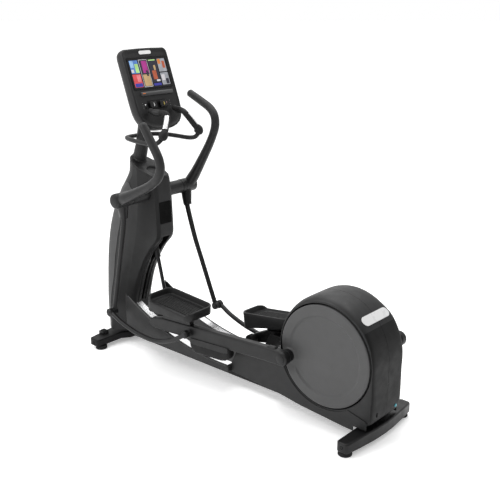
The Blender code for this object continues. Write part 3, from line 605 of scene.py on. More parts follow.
def levelling_feet():
    profile = [
        (0.006, 0.0), (0.033, 0.0), (0.035, 0.002), (0.035, 0.009), (0.033, 0.011), (0.0325, 0.0125),
        (0.0345, 0.0145), (0.034, 0.019), (0.031, 0.0215), (0.006, 0.0215),
    ]
    for end, x, reach in (("front", -0.938, 0.24), ("rear", 0.891, 0.25)):
        for side, word in SIDES:
            pad = lathe(profile, moved((x, side * reach, 0)), 40)
            piece(f"{end}_{word}_foot_pad", pad, RUBBER, "base", f"{end}_{word}_levelling_foot")


def crossfeet():
    rear = [
        (0.955, 0), (0.952, 0.08), (0.94, 0.19), (0.927, 0.272), (0.919, 0.2835), (0.912, 0.285),
        (0.874, 0.285), (0.8655, 0.281), (0.8605, 0.272),
    ]
    bm = floor_slab(mirrored(rear), 0.022, 0.085)
    for vert in bm.verts:
        if vert.co.z > 0.05:
            vert.co.z -= 0.01 * smooth_step(abs(vert.co.y), 0.14, 0.285)
    round_edges(piece("rear_crossfoot_cover", bm, PAINT, "base", "rear_crossfoot"), 0.007)
    front = [
        (-1.03, 0), (-1.028, 0.05), (-1.012, 0.17), (-0.996, 0.272), (-0.989, 0.282), (-0.98, 0.285),
        (-0.932, 0.285), (-0.921, 0.281), (-0.915, 0.271), (-0.915, 0.1), (-0.88, 0.05),
    ]
    bm = floor_slab(mirrored(front), 0.022, 0.066)
    # painted shade: the front crossfoot's cover takes the darker copy of the plastic, so its top face looks
    # less lit
    cover = piece("front_crossfoot_cover", bm, PAINTED_SHADE, "base", "front_crossfoot")
    round_edges(cover, 0.006)
    hole = [(0.0085, -0.001), (0.0085, 0.0008), (0.0065, 0.0012), (0.0055, -0.0006), (0.001, -0.0006)]
    for side, word in SIDES:
        for name, x, z in (("rear", 0.893, 0.05), ("front", -0.955, 0.044)):
            piece(f"{word}_{name}_bolt_hole", lathe(hole, across((x, z), side, side * 0.2848), 24), SEAM)


def transport_wheels():
    tyre = [
        (0.0046, -0.013), (0.02, -0.013), (0.0275, -0.012), (0.03, -0.009), (0.03, 0.009), (0.0275, 0.012),
        (0.02, 0.013), (0.0046, 0.013),
    ]
    for side, word in SIDES:
        name, middle = word + "_transport_wheel", side * 0.18
        wheel = lathe(tyre, across((-0.985, 0.062), side, middle), 40)
        piece(word + "_wheel_tyre", wheel, RUBBER, name, name)
        fork = bmesh.new()
        for gap in (-0.0185, 0.0185):
            block((-0.985, middle + gap, 0.06), (0.044, 0.007, 0.05), bm=fork)
        round_edges(piece(word + "_wheel_fork", fork, PAINT), 0.004)


def side_panels():
    """The long covers beside the track, which step inwards at the rear to shrouds over the drive housing."""
    top = track_arc(TRACK_RADIUS + 0.004, -0.78, 0.05, 40)
    outline = top + [(0.056, 0.157), (0.056, 0.125), (-0.62, 0.128), (-0.78, 0.17)]
    shroud = [tuple(p) for p in smooth_path([(0.05, 0.157), (0.068, 0.2), (0.1, 0.262), (0.14, 0.285)], 6)]
    shroud += [(0.36, 0.285), (0.376, 0.294), (0.386, 0.312)]
    shroud += [tuple(about_crank(0.279, radians(angle)).xz) for angle in range(194, 303, 3)]
    shroud += [
        (0.925, 0.134), (0.93, 0.128), (0.93, 0.0865), (0.856, 0.0865), (0.856, 0.062), (0.8, 0.064),
        (0.53, 0.085), (0.378, 0.106), (0.05, 0.125),
    ]
    for side, word in SIDES:
        bm = side_slab(outline, side * PANEL_INSIDE, side * PANEL_OUTSIDE)
        block((0.053, side * 0.148, 0.141), (0.005, 0.027, 0.029), bm=bm)
        block((0.25, side * 0.121, 0.2815), (0.216, 0.029, 0.006), bm=bm)
        round_edges(piece(word + "_side_cover", bm, BODY, "base", word + "_side_panel"), 0.0022)
        bm = side_slab(shroud, side * SHROUD_INSIDE, side * SHROUD_OUTSIDE)
        round_edges(piece(word + "_shroud", bm, BODY), 0.0018, 3, 50)
        # a lighter grey rod along the cover's top edge: a painted highlight, the light line along that edge
        edge = track_arc(TRACK_RADIUS + 0.004, -0.76, 0.045, 26)
        lip = [(x, side * 0.1602, z + 0.0005, 0.0032) for x, z in edge]
        piece(word + "_side_edge_highlight", tube(lip, 1, 10), PANEL_GREY)


# Carriages and foot arms


def rollers():
    wheel = [
        (0.0105, 0.109), (0.0105, 0.1115), (0.022, 0.1115), (0.0245, 0.109), (0.0315, 0.109), (0.0346, 0.112),
        (0.0346, 0.142), (0.0315, 0.145), (0.0245, 0.145), (0.022, 0.1425), (0.0105, 0.1425), (0.0105, 0.145),
    ]
    for side, word in SIDES:
        name = word + "_roller"
        piece(name + "_wheel", lathe(wheel, across(roller_axle(side), side)), RUBBER, name, name)


def foot_arms():
    turns = [radians(angle) for angle in range(-90, 91, 12)]
    nose = [(-0.028 * cos(turn), 0.028 * sin(turn)) for turn in turns]
    tail = [(ARM_LENGTH + 0.039 * cos(turn), 0.039 * sin(turn)) for turn in reversed(turns)]
    top = smooth_path([(0.0, 0.028), (0.04, 0.036), (0.09, 0.043)], 4)[1:-1]
    beam = nose + [tuple(p) for p in top] + [(0.09, 0.043), (ARM_LENGTH - 0.1, 0.043)]
    beam += tail + [(ARM_LENGTH - 0.1, -0.035), (0.12, -0.035)]
    boss_y = DISC_OUTSIDE + 0.0006
    boss = [(0.02, boss_y), (0.0335, boss_y), (0.034, 0.1425), (0.034, 0.16), (0.03, 0.17)]
    cap = [
        (0.012, 0.2095), (0.024, 0.2095), (0.0255, 0.2105), (0.0255, 0.2118), (0.024, 0.2128),
        (0.004, 0.2132),
    ]
    # the hump near the rear end, as (along the arm, height, half its width)
    hump = [
        (0.845, 0.0, 0.01), (0.852, 0.006, 0.0135), (0.866, 0.011, 0.016), (0.885, 0.0125, 0.0165),
        (0.903, 0.01, 0.0155), (0.914, 0.0, 0.012),
    ]
    stud = [
        (0.004, 0.205), (0.019, 0.205), (0.019, 0.2135), (0.0165, 0.2165), (0.012, 0.2175), (0.012, 0.2214),
        (0.004, 0.2214),
    ]
    for side, word in SIDES:
        body, place = word + "_foot_arm", arm_matrix(side)
        bm = side_slab(beam, side * ARM_INSIDE, side * ARM_OUTSIDE, place)
        round_edges(piece(word + "_arm_beam", bm, PAINT, body, word + "_foot_arm"), 0.01, 5)
        pin = across(crank_pin(side), side)
        piece(word + "_pin_boss", lathe(boss, pin), PAINT, body)
        piece(word + "_pin_cap", lathe(cap, pin, 40), DARK, body)
        rings = []
        for along, height, half in hump:
            arch = [(side * 0.188 + half * cos(t), 0.0395 + height * sin(t)) for t in spaced(0, pi, 12)]
            rings.append([place @ Vector((along, y, z)) for y, z in arch])
        piece(word + "_arm_hump", skin(rings), DARK, body, smooth=60)
        fairing(side, word, place)
        piece(word + "_link_stud", lathe(stud, across(arm_point(side, LINK_JOINT), side), 32), PAINT, body)


def fairing(side, word, place):
    """The moulded cover under the arm, with rounded sides and a slanted rear end."""
    low, high = ARM_INSIDE + 0.001, ARM_OUTSIDE + 0.0048
    middle, half = (low + high) / 2, (high - low) / 2
    # (along the arm, top, bottom, part of the full width)
    stations = [
        (0.302, -0.03, -0.06, 0.55), (0.306, -0.022, -0.078, 0.8), (0.316, -0.02, -0.096, 0.95),
        (0.345, -0.02, -0.108, 1.0), (0.44, -0.02, -0.11, 1.0), (0.53, -0.02, -0.11, 1.0),
        (0.562, -0.02, -0.104, 1.0), (0.583, -0.02, -0.092, 0.98), (0.595, -0.022, -0.078, 0.9),
        (0.6, -0.03, -0.062, 0.7),
    ]
    rings = []
    for along, top, bottom, wide in stations:
        ring = []
        for t in full_turn(40):
            c, s = cos(t), sin(t)
            out = copysign(abs(c) ** 0.42, c) * half * wide
            up = copysign(abs(s) ** 0.42, s) * (top - bottom) / 2
            ring.append(place @ Vector((along, side * (middle + out), (top + bottom) / 2 + up)))
        rings.append(ring)
    # painted shade: the fairing under the arm takes the darker copy of the plastic
    piece(word + "_arm_fairing", skin(rings), PAINTED_SHADE, word + "_foot_arm", smooth=50)
    band = [
        (0.309, -0.0245), (0.594, -0.0245), (0.592, -0.052), (0.56, -0.0575), (0.33, -0.0575), (0.309, -0.05),
    ]
    bm = side_slab(band, side * (high - 0.0002), side * (high + 0.001), place)
    round_edges(piece(word + "_fairing_band", bm, DARK, word + "_foot_arm"), 0.0005, 2)


TRAY_LENGTH, TRAY_WIDTH = 0.355, 0.198
TRAY_MIDDLE_Y = 0.161
TRAY_CORNER = 0.05


def tray_rim(u, outward):
    """How far the rim lies below its drawn level: raised at the toe and inboard, low along the outer lip."""
    low = 0.018 * smooth_step(outward, 0.55, 0.93) * smooth_step(abs(u), 0.165, 0.135)
    return low - 0.009 * smooth_step(outward, 0.95, 0.3)


def tray_bottom(u):
    return -0.0795 if u < -0.1 else -0.0795 + (u + 0.1) * 0.0613 / 0.455


def tray_rings(side):
    """The foot tray's skin, from the middle of its underside round the rim to its floor."""
    # (inset from the outline, height, how it varies)
    levels = [
        (0.03, 0.0, "bottom"), (0.006, 0.0, "bottom"), (0.0015, 0.002, "bottom"), (0.0, 0.007, "bottom"),
        (0.0, -0.03, "level"), (0.0, -0.003, "rim"), (0.0012, -0.0008, "rim"), (0.0035, 0.0, "rim"),
        (0.0075, 0.0, "rim"), (0.01, -0.001, "rim"), (0.0115, -0.0035, "rim"), (0.0125, -0.0215, "level"),
        (0.0145, -0.0255, "level"), (0.019, -0.0275, "level"), (0.026, -0.028, "level"),
    ]
    rings = []
    for inset, height, kind in levels:
        corner = max(TRAY_CORNER - inset, 0.006)
        ring = []
        for u, v in rounded_rectangle(TRAY_LENGTH - 2 * inset, TRAY_WIDTH - 2 * inset, corner, 10):
            rim = tray_rim(u, v * side / (TRAY_WIDTH / 2))
            ring.append((u, v, height + {"bottom": tray_bottom(u), "level": 0.0, "rim": -rim}[kind]))
        rings.append(ring)
    return rings


def pedals():
    """Foot trays: a high toe and inner wall, a low outer lip, and lengthwise ribs on the floor."""
    for side, word in SIDES:
        body, centre = word + "_foot_arm", arm_point(side, 0.19, 0.15)
        place = moved((centre.x, side * TRAY_MIDDLE_Y, centre.y))
        place = place @ tilted(PEDAL_TILT - arm_slope(side))
        piece(word + "_foot_tray", skin(tray_rings(side)), DARK, body, word + "_pedal", 40, place)
        mat = rounded_rectangle(TRAY_LENGTH - 0.075, TRAY_WIDTH - 0.075, 0.022)
        bm = slab(mat, 0.0018, place @ moved((0, 0, -0.0274)))
        round_edges(piece(word + "_tray_mat", bm, TREAD, body), 0.0008, 2)
        ribs = bmesh.new()
        for k in range(-4, 5):
            reach = 0.112 if abs(k) == 4 else 0.125
            tube([(u, k * 0.0145, -0.0262, 0.0022) for u in (-reach, 0, reach)], 2, 8, bm=ribs)
        piece(word + "_tray_ribs", ribs, BLACK, body, matrix=place)
        at = arm_point(side, 0.2, 0.0435 + 0.019)
        bracket = block((at.x, side * 0.19, at.y), (0.22, 0.034, 0.042), -arm_slope(side))
        round_edges(piece(word + "_tray_bracket", bracket, PAINT, body), 0.005)


# Handlebars and links

# The handlebar's parts as (x, y, z, radius) from the hub. The lever's end is drawn at LEVER_DRAWN in X and Z.
LEVER_DRAWN = (-0.2, -0.72)
HANDLE_ARM = [
    (0.008, 0.264, 0.002, 0.0345), (0.06, 0.277, 0.022, 0.0335), (0.12, 0.283, 0.045, 0.03),
    (0.24, 0.292, 0.095, 0.0258), (0.3, 0.298, 0.124, 0.0243), (0.345, 0.3035, 0.1515, 0.0232),
    (0.362, 0.3055, 0.164, 0.0228),
]
HANDLE_GRIP = [
    (0.34, 0.3028, 0.1482, 0.0238), (0.362, 0.3055, 0.164, 0.0242), (0.384, 0.3085, 0.188, 0.0242),
    (0.399, 0.3115, 0.218, 0.024), (0.4025, 0.314, 0.25, 0.0238), (0.3925, 0.3165, 0.289, 0.0236),
    (0.368, 0.3195, 0.334, 0.0234), (0.332, 0.3235, 0.395, 0.0228), (0.295, 0.327, 0.456, 0.0216),
]
LEVER_SLEEVE = [
    (0.0, 0.246, -0.006, 0.0315), (-0.01, 0.239, -0.03, 0.031), (-0.02, 0.231, -0.06, 0.0295),
    (-0.03, 0.222, -0.095, 0.0255), (-0.0345, 0.2195, -0.112, 0.024),
]
LEVER_ROD = [
    (-0.033, 0.218, -0.095, 0.0148), (-0.058, 0.2105, -0.185, 0.0145), (-0.094, 0.205, -0.31, 0.014),
    (-0.13, 0.205, -0.45, 0.0138), (-0.2, 0.205, -0.72, 0.0138),
]


def handlebars():
    casing = [
        (0.0176, HUB_INSIDE + 0.001), (0.0385, HUB_INSIDE + 0.001), (0.0415, HUB_INSIDE + 0.004),
        (0.042, 0.198), (0.042, 0.2145), (0.0408, 0.2152), (0.0408, 0.2168), (0.042, 0.2175), (0.042, 0.296),
        (0.0405, 0.303), (0.036, 0.3075), (0.0176, 0.3085),
    ]
    cap = [(0.005, 0.304), (0.03, 0.304), (0.03, 0.309), (0.0285, 0.31), (0.002, 0.3102)]
    boss = [
        (0.004, 0.19), (0.0195, 0.19), (0.0218, 0.1925), (0.022, 0.2), (0.022, 0.2165), (0.0205, 0.2198),
        (0.004, 0.2203),
    ]
    for side, word in SIDES:
        body, end = word + "_handlebar", lever_end(side)
        swing = Matrix.Rotation(-Vector(LEVER_DRAWN).angle_signed(end - Vector((HUB_X, HUB_Z))), 2)

        def swung(points, side=side, swing=swing):
            spots = [(swing @ Vector((x, z)), y, radius) for x, y, z, radius in points]
            return [(HUB_X + spot.x, side * y, HUB_Z + spot.y, radius) for spot, y, radius in spots]

        piece(word + "_handle_arm", tube(swung(HANDLE_ARM), 5, 32, (True, False)), LEVER, body, body, 60)
        piece(word + "_handle_grip", tube(swung(HANDLE_GRIP), 6, 32, (False, True)), GRIP, body, smooth=60)
        piece(word + "_lever_sleeve", tube(swung(LEVER_SLEEVE), 6, 32, (True, False)), LEVER, body, smooth=45)
        piece(word + "_lever_rod", tube(swung(LEVER_ROD), 5, 28, (False, False)), DARK, body, smooth=60)
        hub = across((HUB_X, HUB_Z), side)
        piece(word + "_hub_casing", lathe(casing, hub, 56), LEVER, body)
        piece(word + "_hub_cap", lathe(cap, hub), DARK, body)
        piece(word + "_lever_boss", lathe(boss, across(end, side), 40), PAINT, body)


def links():
    # (part of the way to the rear eye, sag below the straight line)
    shape = [(0.0, 0.0), (0.03, 0.004), (0.16, 0.045), (0.38, 0.085), (0.6, 0.095), (0.82, 0.06), (1.0, 0.0)]
    cap = [(0.004, 0.2495), (0.0135, 0.2495), (0.0135, 0.2515), (0.012, 0.2528), (0.002, 0.2532)]
    low, high = LINK_INSIDE, LINK_OUTSIDE
    for side, word in SIDES:
        body = word + "_link"
        end, joint = lever_end(side), arm_point(side, LINK_JOINT)
        along = joint - end
        below = Vector((along.y, -along.x)).normalized()
        spots = [end + along * part + below * sag for part, sag in shape]
        points = [(spot.x, side * (low + high) / 2, spot.y, 0.0134) for spot in spots]
        piece(word + "_link_bar", tube(points, 8, 28, (False, False)), LEVER, body, body, 60)
        for name, at, radius, hole in (("front", end, 0.025, 0.0125), ("rear", joint, 0.022, 0.004)):
            eye = [
                (hole, low), (radius - 0.003, low), (radius, low + 0.003), (radius, high - 0.004),
                (radius - 0.004, high), (hole, high),
            ]
            piece(f"{word}_link_{name}_eye", lathe(eye, across(at, side), 44), PAINT, body)
        piece(word + "_link_bolt", lathe(cap, across(joint, side), 32), DARK_STEEL, body)


# Tower

# Height, then the plan's rear x and half width, side seam x and half width, widest x and half width,
# front x, and how far the nose stands out
TOWER_SECTIONS = [
    (0.1, (-0.835, 0.08, -0.858, 0.098, -0.92, 0.15, -1.005, 0.018)),
    (0.27, (-0.818, 0.076, -0.848, 0.098, -0.91, 0.148, -1.008, 0.018)),
    (0.36, (-0.793, 0.07, -0.838, 0.098, -0.895, 0.142, -1.01, 0.018)),
    (0.46, (-0.76, 0.067, -0.815, 0.098, -0.87, 0.134, -1.01, 0.018)),
    (0.56, (-0.712, 0.066, -0.785, 0.098, -0.86, 0.126, -1.008, 0.018)),
    (0.65, (-0.652, 0.066, -0.76, 0.098, -0.84, 0.12, -1.0, 0.018)),
    (0.735, (-0.582, 0.066, -0.735, 0.098, -0.82, 0.117, -0.984, 0.02)),
    (0.76, (-0.578, 0.066, -0.73, 0.098, -0.81, 0.116, -0.978, 0.02)),
    (0.88, (-0.582, 0.066, -0.712, 0.099, -0.79, 0.112, -0.935, 0.026)),
    (0.98, (-0.587, 0.066, -0.705, 0.098, -0.77, 0.103, -0.882, 0.03)),
    (1.13, (-0.6, 0.06, -0.725, 0.082, -0.76, 0.08, -0.812, 0.03)),
]


def tower_top_z(x):
    return 1.14 - 0.4 * (x + 0.76)


def tower_values(z):
    """The section's numbers at a height, on a curve that stays between its neighbours."""
    levels = [level for level, _ in TOWER_SECTIONS]
    last = len(levels) - 1
    z = max(levels[0], min(z, levels[-1]))
    i = min(max(k for k, level in enumerate(levels) if level <= z), last - 1)
    height = levels[i + 1] - levels[i]
    values = []
    for column in zip(*[row for _, row in TOWER_SECTIONS]):

        def slope(k, column=column):
            if k in (0, last):
                return 0.0
            before = (column[k] - column[k - 1]) / (levels[k] - levels[k - 1])
            after = (column[k + 1] - column[k]) / (levels[k + 1] - levels[k])
            return 0.0 if before * after <= 0 else 2 * before * after / (before + after)

        ends = (column[i], column[i + 1], slope(i) * height, slope(i + 1) * height)
        values.append(hermite(*ends, (z - levels[i]) / height))
    return values


def rear_x(z):
    return tower_values(z)[0]


def plan_point(z, part):
    """A point of the tower's skin. part is 0 at the rear middle, 3 at the side seam and 8 at the front."""
    rear, rear_half, side_x, side_half, wide_x, wide, front, nose = tower_values(z)
    corners = [
        (rear, 0.0), (rear, rear_half * 0.72), (rear - 0.01, rear_half), (side_x, side_half), (wide_x, wide),
        (front + 0.055, wide * 0.98), (front + 0.015, wide * 0.8), (front - nose * 0.6, wide * 0.45),
        (front - nose, 0.0), (front - nose * 0.6, -wide * 0.45),
    ]
    corners = [Vector(corner) for corner in corners]
    i = min(int(part), 7)
    t = part - i
    a, b = corners[i], corners[i + 1]
    if i < 3:
        return a + (b - a) * t
    if i == 3:
        # the long side runs on smoothly into the rounded front
        return hermite(a, b, b - a, (corners[5] - a) / 2, t)
    return between(corners[i - 1], a, b, corners[i + 2], t)


def tower_skin(z, part, side, out):
    """A point on the tower's skin, moved outwards."""
    spot = plan_point(z, part)
    tangent = (plan_point(z, min(part + 0.02, 8.0)) - plan_point(z, max(part - 0.02, 0.0))).normalized()
    normal = Vector((-tangent.y, tangent.x))
    if normal.dot(spot + Vector((0.76, 0.0))) < 0:
        normal = -normal
    spot += normal * out
    return Vector((spot.x, side * max(0.0, spot.y), z))


def tower_shells():
    heights = [*spaced(TOWER_FOOT_Z, 1.1, 60), TOWER_CAP_Z]
    front, rear = [], []
    for z in heights:

        def half(parts, z=z):
            spots = [plan_point(z, part) for part in parts]
            limit = inf if z == TOWER_CAP_Z else z
            return [(spot.x, spot.y, min(limit, tower_top_z(spot.x))) for spot in spots]

        fore, aft = half(spaced(3, 8, 40)), half(spaced(0, 3, 18))
        front.append(fore + [(x, -y, h) for x, y, h in reversed(fore[:-1])])
        rear.append([(x, -y, h) for x, y, h in reversed(aft[1:])] + aft)
    piece("tower_front_shell", skin(front, False, False), BODY, "base", "tower_front_cover", 40)
    bm = skin(rear, False, False)
    middles = [(face, face.calc_center_median()) for face in bm.faces]
    doomed = [face for face, at in middles if abs(at.y) < 0.024 and SLOT_LOW_Z < at.z < SLOT_HIGH_Z]
    bmesh.ops.delete(bm, geom=doomed, context="FACES")
    piece("tower_rear_shell", bm, DARK, "base", "tower_rear_cover", 30)


def tower_side_panels():
    for side, word in SIDES:
        grids = {0.002: [], 0.0005: []}
        for z in spaced(0.16, 1.036, 48):
            top = smooth_step(z, 0.985, 1.036)
            back = 4.42 - 0.85 * smooth_step(z, 0.8, 1.03) + 0.1 * smooth_step(z, 0.5, 0.2)
            parts = spaced(back + 0.9 * top * top, 7.2 - 1.6 * top, 14)
            for out, rows in grids.items():
                rows.append([tower_skin(z, part, side, out) for part in parts])
        piece(word + "_tower_side_panel", plate(*grids.values()), PANEL_GREY, smooth=30)


def tower_window():
    low, high = 0.813, 0.941
    lean = atan2(rear_x(high) - rear_x(low), high - low)
    place = moved(((rear_x(low) + rear_x(high)) / 2 + 0.0012, 0, (low + high) / 2))
    place = place @ tilted(lean) @ FACING_REAR
    bm = slab(rounded_rectangle(0.089, high - low, 0.006, 4), 0.003, place)
    round_edges(piece("tower_window", bm, SEAM), 0.0008, 2)


def tower_slot():
    """The walls of the long slot, the lips round it, and ribbed ledges inside it."""
    walls, lips, ledges, ribs = [bmesh.new() for _ in range(4)]
    for s in (-1, 1):
        edge = [(rear_x(z), z) for z in spaced(SLOT_LOW_Z, 0.73, 24)]
        skin([[(x + out, s * 0.0235, z) for x, z in edge] for out in (0.0005, -0.05)], False, False, walls)
        tube([(rear_x(z) + 0.0005, s * 0.029, z, 0.0048) for z in spaced(0.275, 0.73, 14)], 2, 12, bm=lips)
        rings = []
        for z in spaced(SLOT_LOW_Z, 0.59, 20):
            inner, outer = s * (0.0085 + 0.012 * smooth_step(z, 0.555, 0.59)), s * 0.0236
            front, back = rear_x(z) - 0.001, rear_x(z) - 0.012
            rings.append([(front, inner, z), (front, outer, z), (back, outer, z), (back, inner, z)])
        skin(rings, bm=ledges)
        for z in spaced(0.325, 0.541, 6):
            block((rear_x(z) - 0.0005, s * 0.0165, z), (0.003, 0.0085, 0.004), bm=ribs)
    piece("tower_slot_walls", walls, SEAM)
    piece("tower_slot_lips", lips, BODY, smooth=60)
    piece("tower_slot_ledges", ledges, BODY, smooth=30)
    piece("tower_slot_ribs", ribs, BLACK)


def tower_cap():
    """The cap with the moulded bottle cup."""
    cup_x, middle_x = -0.667, -0.715
    half = [tuple(plan_point(TOWER_CAP_Z, part)) for part in spaced(0, 8, 48)]
    outline = half + [(x, -y) for x, y in reversed(half[1:-1])]
    rings = []
    for up, shrink in ((0.0006, 0.0), (0.0085, 0.0), (0.011, 0.0012), (0.012, 0.004)):
        wide = 1 - shrink / 0.09
        drawn = [(x - copysign(shrink, x - middle_x), y * wide, tower_top_z(x) + up) for x, y in outline]
        rings.append(drawn)
    # from the rim inwards to the cup's mouth, which follows the sloping top, and down to its level floor
    turns = [atan2(y, x - cup_x) for x, y in outline]
    for radius, up in ((0.047, 0.0118), (0.044, 0.0105), (0.042, 0.0075), (0.0405, 0.001)):
        ring = [(cup_x + radius * cos(t), radius * sin(t)) for t in turns]
        rings.append([(x, y, tower_top_z(x) + up) for x, y in ring])
    for radius, z in ((0.04, 1.042), (0.037, 1.036), (0.03, 1.034)):
        rings.append([(cup_x + radius * cos(t), radius * sin(t), z) for t in turns])
    piece("tower_cap", skin(rings), DARK, "base", "tower_top")


def mast_collar():
    rings = []
    for up, wide in ((0.0115, 1.1), (0.0175, 1.1), (0.0215, 1.05), (0.0225, 1.0)):
        oval = [(-0.79 + 0.042 * wide * cos(t), 0.036 * wide * sin(t)) for t in full_turn(48)]
        rings.append([(x, y, tower_top_z(x) + up) for x, y in oval])
    piece("mast_collar", skin(rings), DARK, smooth=40)


# Console. Its own directions: X out of the face, Y to the right, Z up.

console_place = moved((CONSOLE_X, 0, CONSOLE_Z)) @ tilted(-CONSOLE_LEAN)
KEYS_Z = -0.18


def console_outline():
    """Half of the console's outline from the top middle down, as smooth points (y, z)."""
    top = [(0.0, 0.141), (0.06, 0.1405), (0.11, 0.1385)]
    turns = [radians(5 + 17 * k) for k in range(6)]
    corner = [(0.137 + 0.029 * sin(a), 0.109 + 0.0295 * cos(a)) for a in turns]
    side = [(0.166, 0.06), (0.166, -0.05), (0.166, -0.15)]
    bowl = [
        (0.1655, -0.185), (0.1635, -0.215), (0.157, -0.243), (0.145, -0.269), (0.126, -0.291), (0.1, -0.306),
        (0.068, -0.3155), (0.034, -0.3195), (0.0, -0.3205),
    ]
    return top + corner + side + bowl


def console_shell(name, profile, material, replaces, smooth):
    """A shell from a profile of (how far the outline is drawn in, x)."""
    rings = []
    for inset, x in profile:
        half = [(x, y * (1 - inset / 0.166), z - inset * (z + 0.085) / 0.235) for y, z in console_outline()]
        rings.append(half + [(x, -y, z) for x, y, z in reversed(half[1:-1])])
    piece(name, skin(rings), material, "base", replaces, smooth, console_place)


def console_slab(outline, x0, x1, holes=(), shift=(0, 0)):
    return slab(outline, x1 - x0, console_place @ moved(((x0 + x1) / 2, *shift)) @ FACING_REAR, holes)


def console():
    housing = [
        (0.04, -0.012), (0.007, -0.01), (0.0045, -0.0005), (0.0015, -0.003), (0.0, -0.0075), (0.0, -0.028),
        (0.0015, -0.042), (0.006, -0.056), (0.014, -0.0685), (0.026, -0.0775), (0.042, -0.083),
        (0.07, -0.0848),
    ]
    console_shell("console_shell", housing, BODY, "console_housing", 45)
    # the inset face has a raised rim
    face = [
        (0.006, -0.01), (0.0048, -0.0004), (0.0062, 0.0002), (0.01, 0.0002), (0.0125, -0.001),
        (0.014, -0.0022), (0.03, -0.0026),
    ]
    console_shell("console_face", face, DARK, "console_fascia", 40)
    opening = rounded_rectangle(0.2725, 0.1635, 0.004)
    bezel = console_slab(rounded_rectangle(0.288, 0.182, 0.008), -0.004, -0.0008, [opening])
    round_edges(piece("display_bezel", bezel, BLACK), 0.0006, 2)
    glass = console_slab(rounded_rectangle(0.272, 0.163, 0.004), -0.0045, -0.0019)
    piece("display_glass", glass, GLASS, "base", "display_screen")
    tiles()
    pill = console_slab(rounded_rectangle(0.088, 0.02, 0.0098, 8), -0.003, 0.0012, shift=(0, 0.1145))
    round_edges(piece("console_pill", pill, WHITE, "base", "console_badge"), 0.0009)
    light_bar()
    toggles()
    round_keys()


def tiles():
    """Abstract colour tiles on the display, as (name, colour, y0, y1, z0, z1, level above the glass)."""
    colours = {
        "blue": (0.1, 0.22, 0.55), "green": (0.42, 0.7, 0.25), "red": (0.62, 0.08, 0.09),
        "pink": (0.38, 0.04, 0.24), "sand": (0.48, 0.33, 0.16), "dusk": (0.03, 0.03, 0.045),
        "pale": (0.62, 0.6, 0.62), "rust": (0.42, 0.1, 0.05), "grey": (0.32, 0.33, 0.36),
        "orange": (0.55, 0.18, 0.04), "navy": (0.05, 0.05, 0.32), "sky": (0.3, 0.5, 0.75),
        "coral": (0.75, 0.22, 0.24),
    }
    lights = {name: lit("tile_" + name, colour, 0.55) for name, colour in colours.items()}
    for name, colour, y0, y1, z0, z1, level in (
        ("a", "blue", -0.13, -0.071, 0.001, 0.074, 0),
        ("a_green", "green", -0.098, -0.073, 0.004, 0.054, 1),
        ("a_sky", "sky", -0.128, -0.104, 0.034, 0.072, 1),
        ("a_pale", "pale", -0.128, -0.11, 0.006, 0.024, 1),
        ("b", "red", -0.13, -0.071, -0.076, -0.003, 0),
        ("b_coral", "coral", -0.102, -0.076, -0.046, -0.008, 1),
        ("b_navy", "navy", -0.126, -0.073, -0.074, -0.054, 1),
        ("c_frame", "pale", -0.063, -0.001, -0.078, 0.076, 0),
        ("c", "dusk", -0.0605, -0.0035, -0.0755, 0.0735, 1),
        ("c_pink", "pink", -0.046, -0.008, 0.0, 0.068, 2),
        ("c_sand", "sand", -0.056, -0.006, -0.073, -0.008, 2),
        ("c_dark", "dusk", -0.026, -0.012, -0.018, 0.014, 3),
        ("d", "dusk", 0.006, 0.066, -0.056, 0.074, 0),
        ("d_top", "green", 0.008, 0.058, 0.066, 0.072, 1),
        ("d_sand", "sand", 0.036, 0.05, 0.012, 0.04, 1),
        ("d_rust", "rust", 0.018, 0.048, -0.04, 0.01, 1),
        ("d_pale", "pale", 0.036, 0.062, -0.052, -0.042, 1),
        ("e", "navy", 0.008, 0.064, -0.075, -0.062, 0),
        ("f", "grey", 0.073, 0.13, 0.0, 0.074, 0),
        ("f_orange", "orange", 0.075, 0.096, 0.044, 0.072, 1),
        ("f_rust", "rust", 0.104, 0.124, 0.02, 0.06, 1),
        ("g", "grey", 0.073, 0.13, -0.074, -0.006, 0),
        ("g_pale", "pale", 0.078, 0.102, -0.05, -0.016, 1),
        ("g_dusk", "dusk", 0.104, 0.126, -0.07, -0.04, 1),
    ):
        radius = min(0.003, (y1 - y0) / 3, (z1 - z0) / 3)
        outline = rounded_rectangle(y1 - y0, z1 - z0, radius, 3)
        middle = ((y0 + y1) / 2, (z0 + z1) / 2)
        tile = console_slab(outline, -0.0021, -0.0019 + 0.00022 * (level + 1), shift=middle)
        piece("tile_" + name, tile, lights[colour])


def light_bar():
    """The ledge under the display, with a lit end."""
    section = [
        (-0.004, 0.011), (0.0035, 0.0105), (0.0065, 0.0065), (0.0072, 0.0), (0.0062, -0.007), (0.003, -0.011),
        (-0.004, -0.012),
    ]
    rings = []
    ends = ((-0.106, 0.4), (-0.1045, 0.85), (-0.101, 1.0), (0.124, 1.0), (0.1275, 0.85), (0.129, 0.4))
    for y, part in ends:
        rings.append([(x * part if x > 0 else x, y, -0.115 + z * part) for x, z in section])
    piece("light_bar_ledge", skin(rings), PANEL_GREY, smooth=45, matrix=console_place)
    glow = console_slab(rounded_rectangle(0.02, 0.004, 0.0018, 4), 0.005, 0.0076, shift=(-0.088, -0.1135))
    piece("light_bar_orange", glow, lit("bar_orange", (0.62, 0.16, 0.03), 0.5))


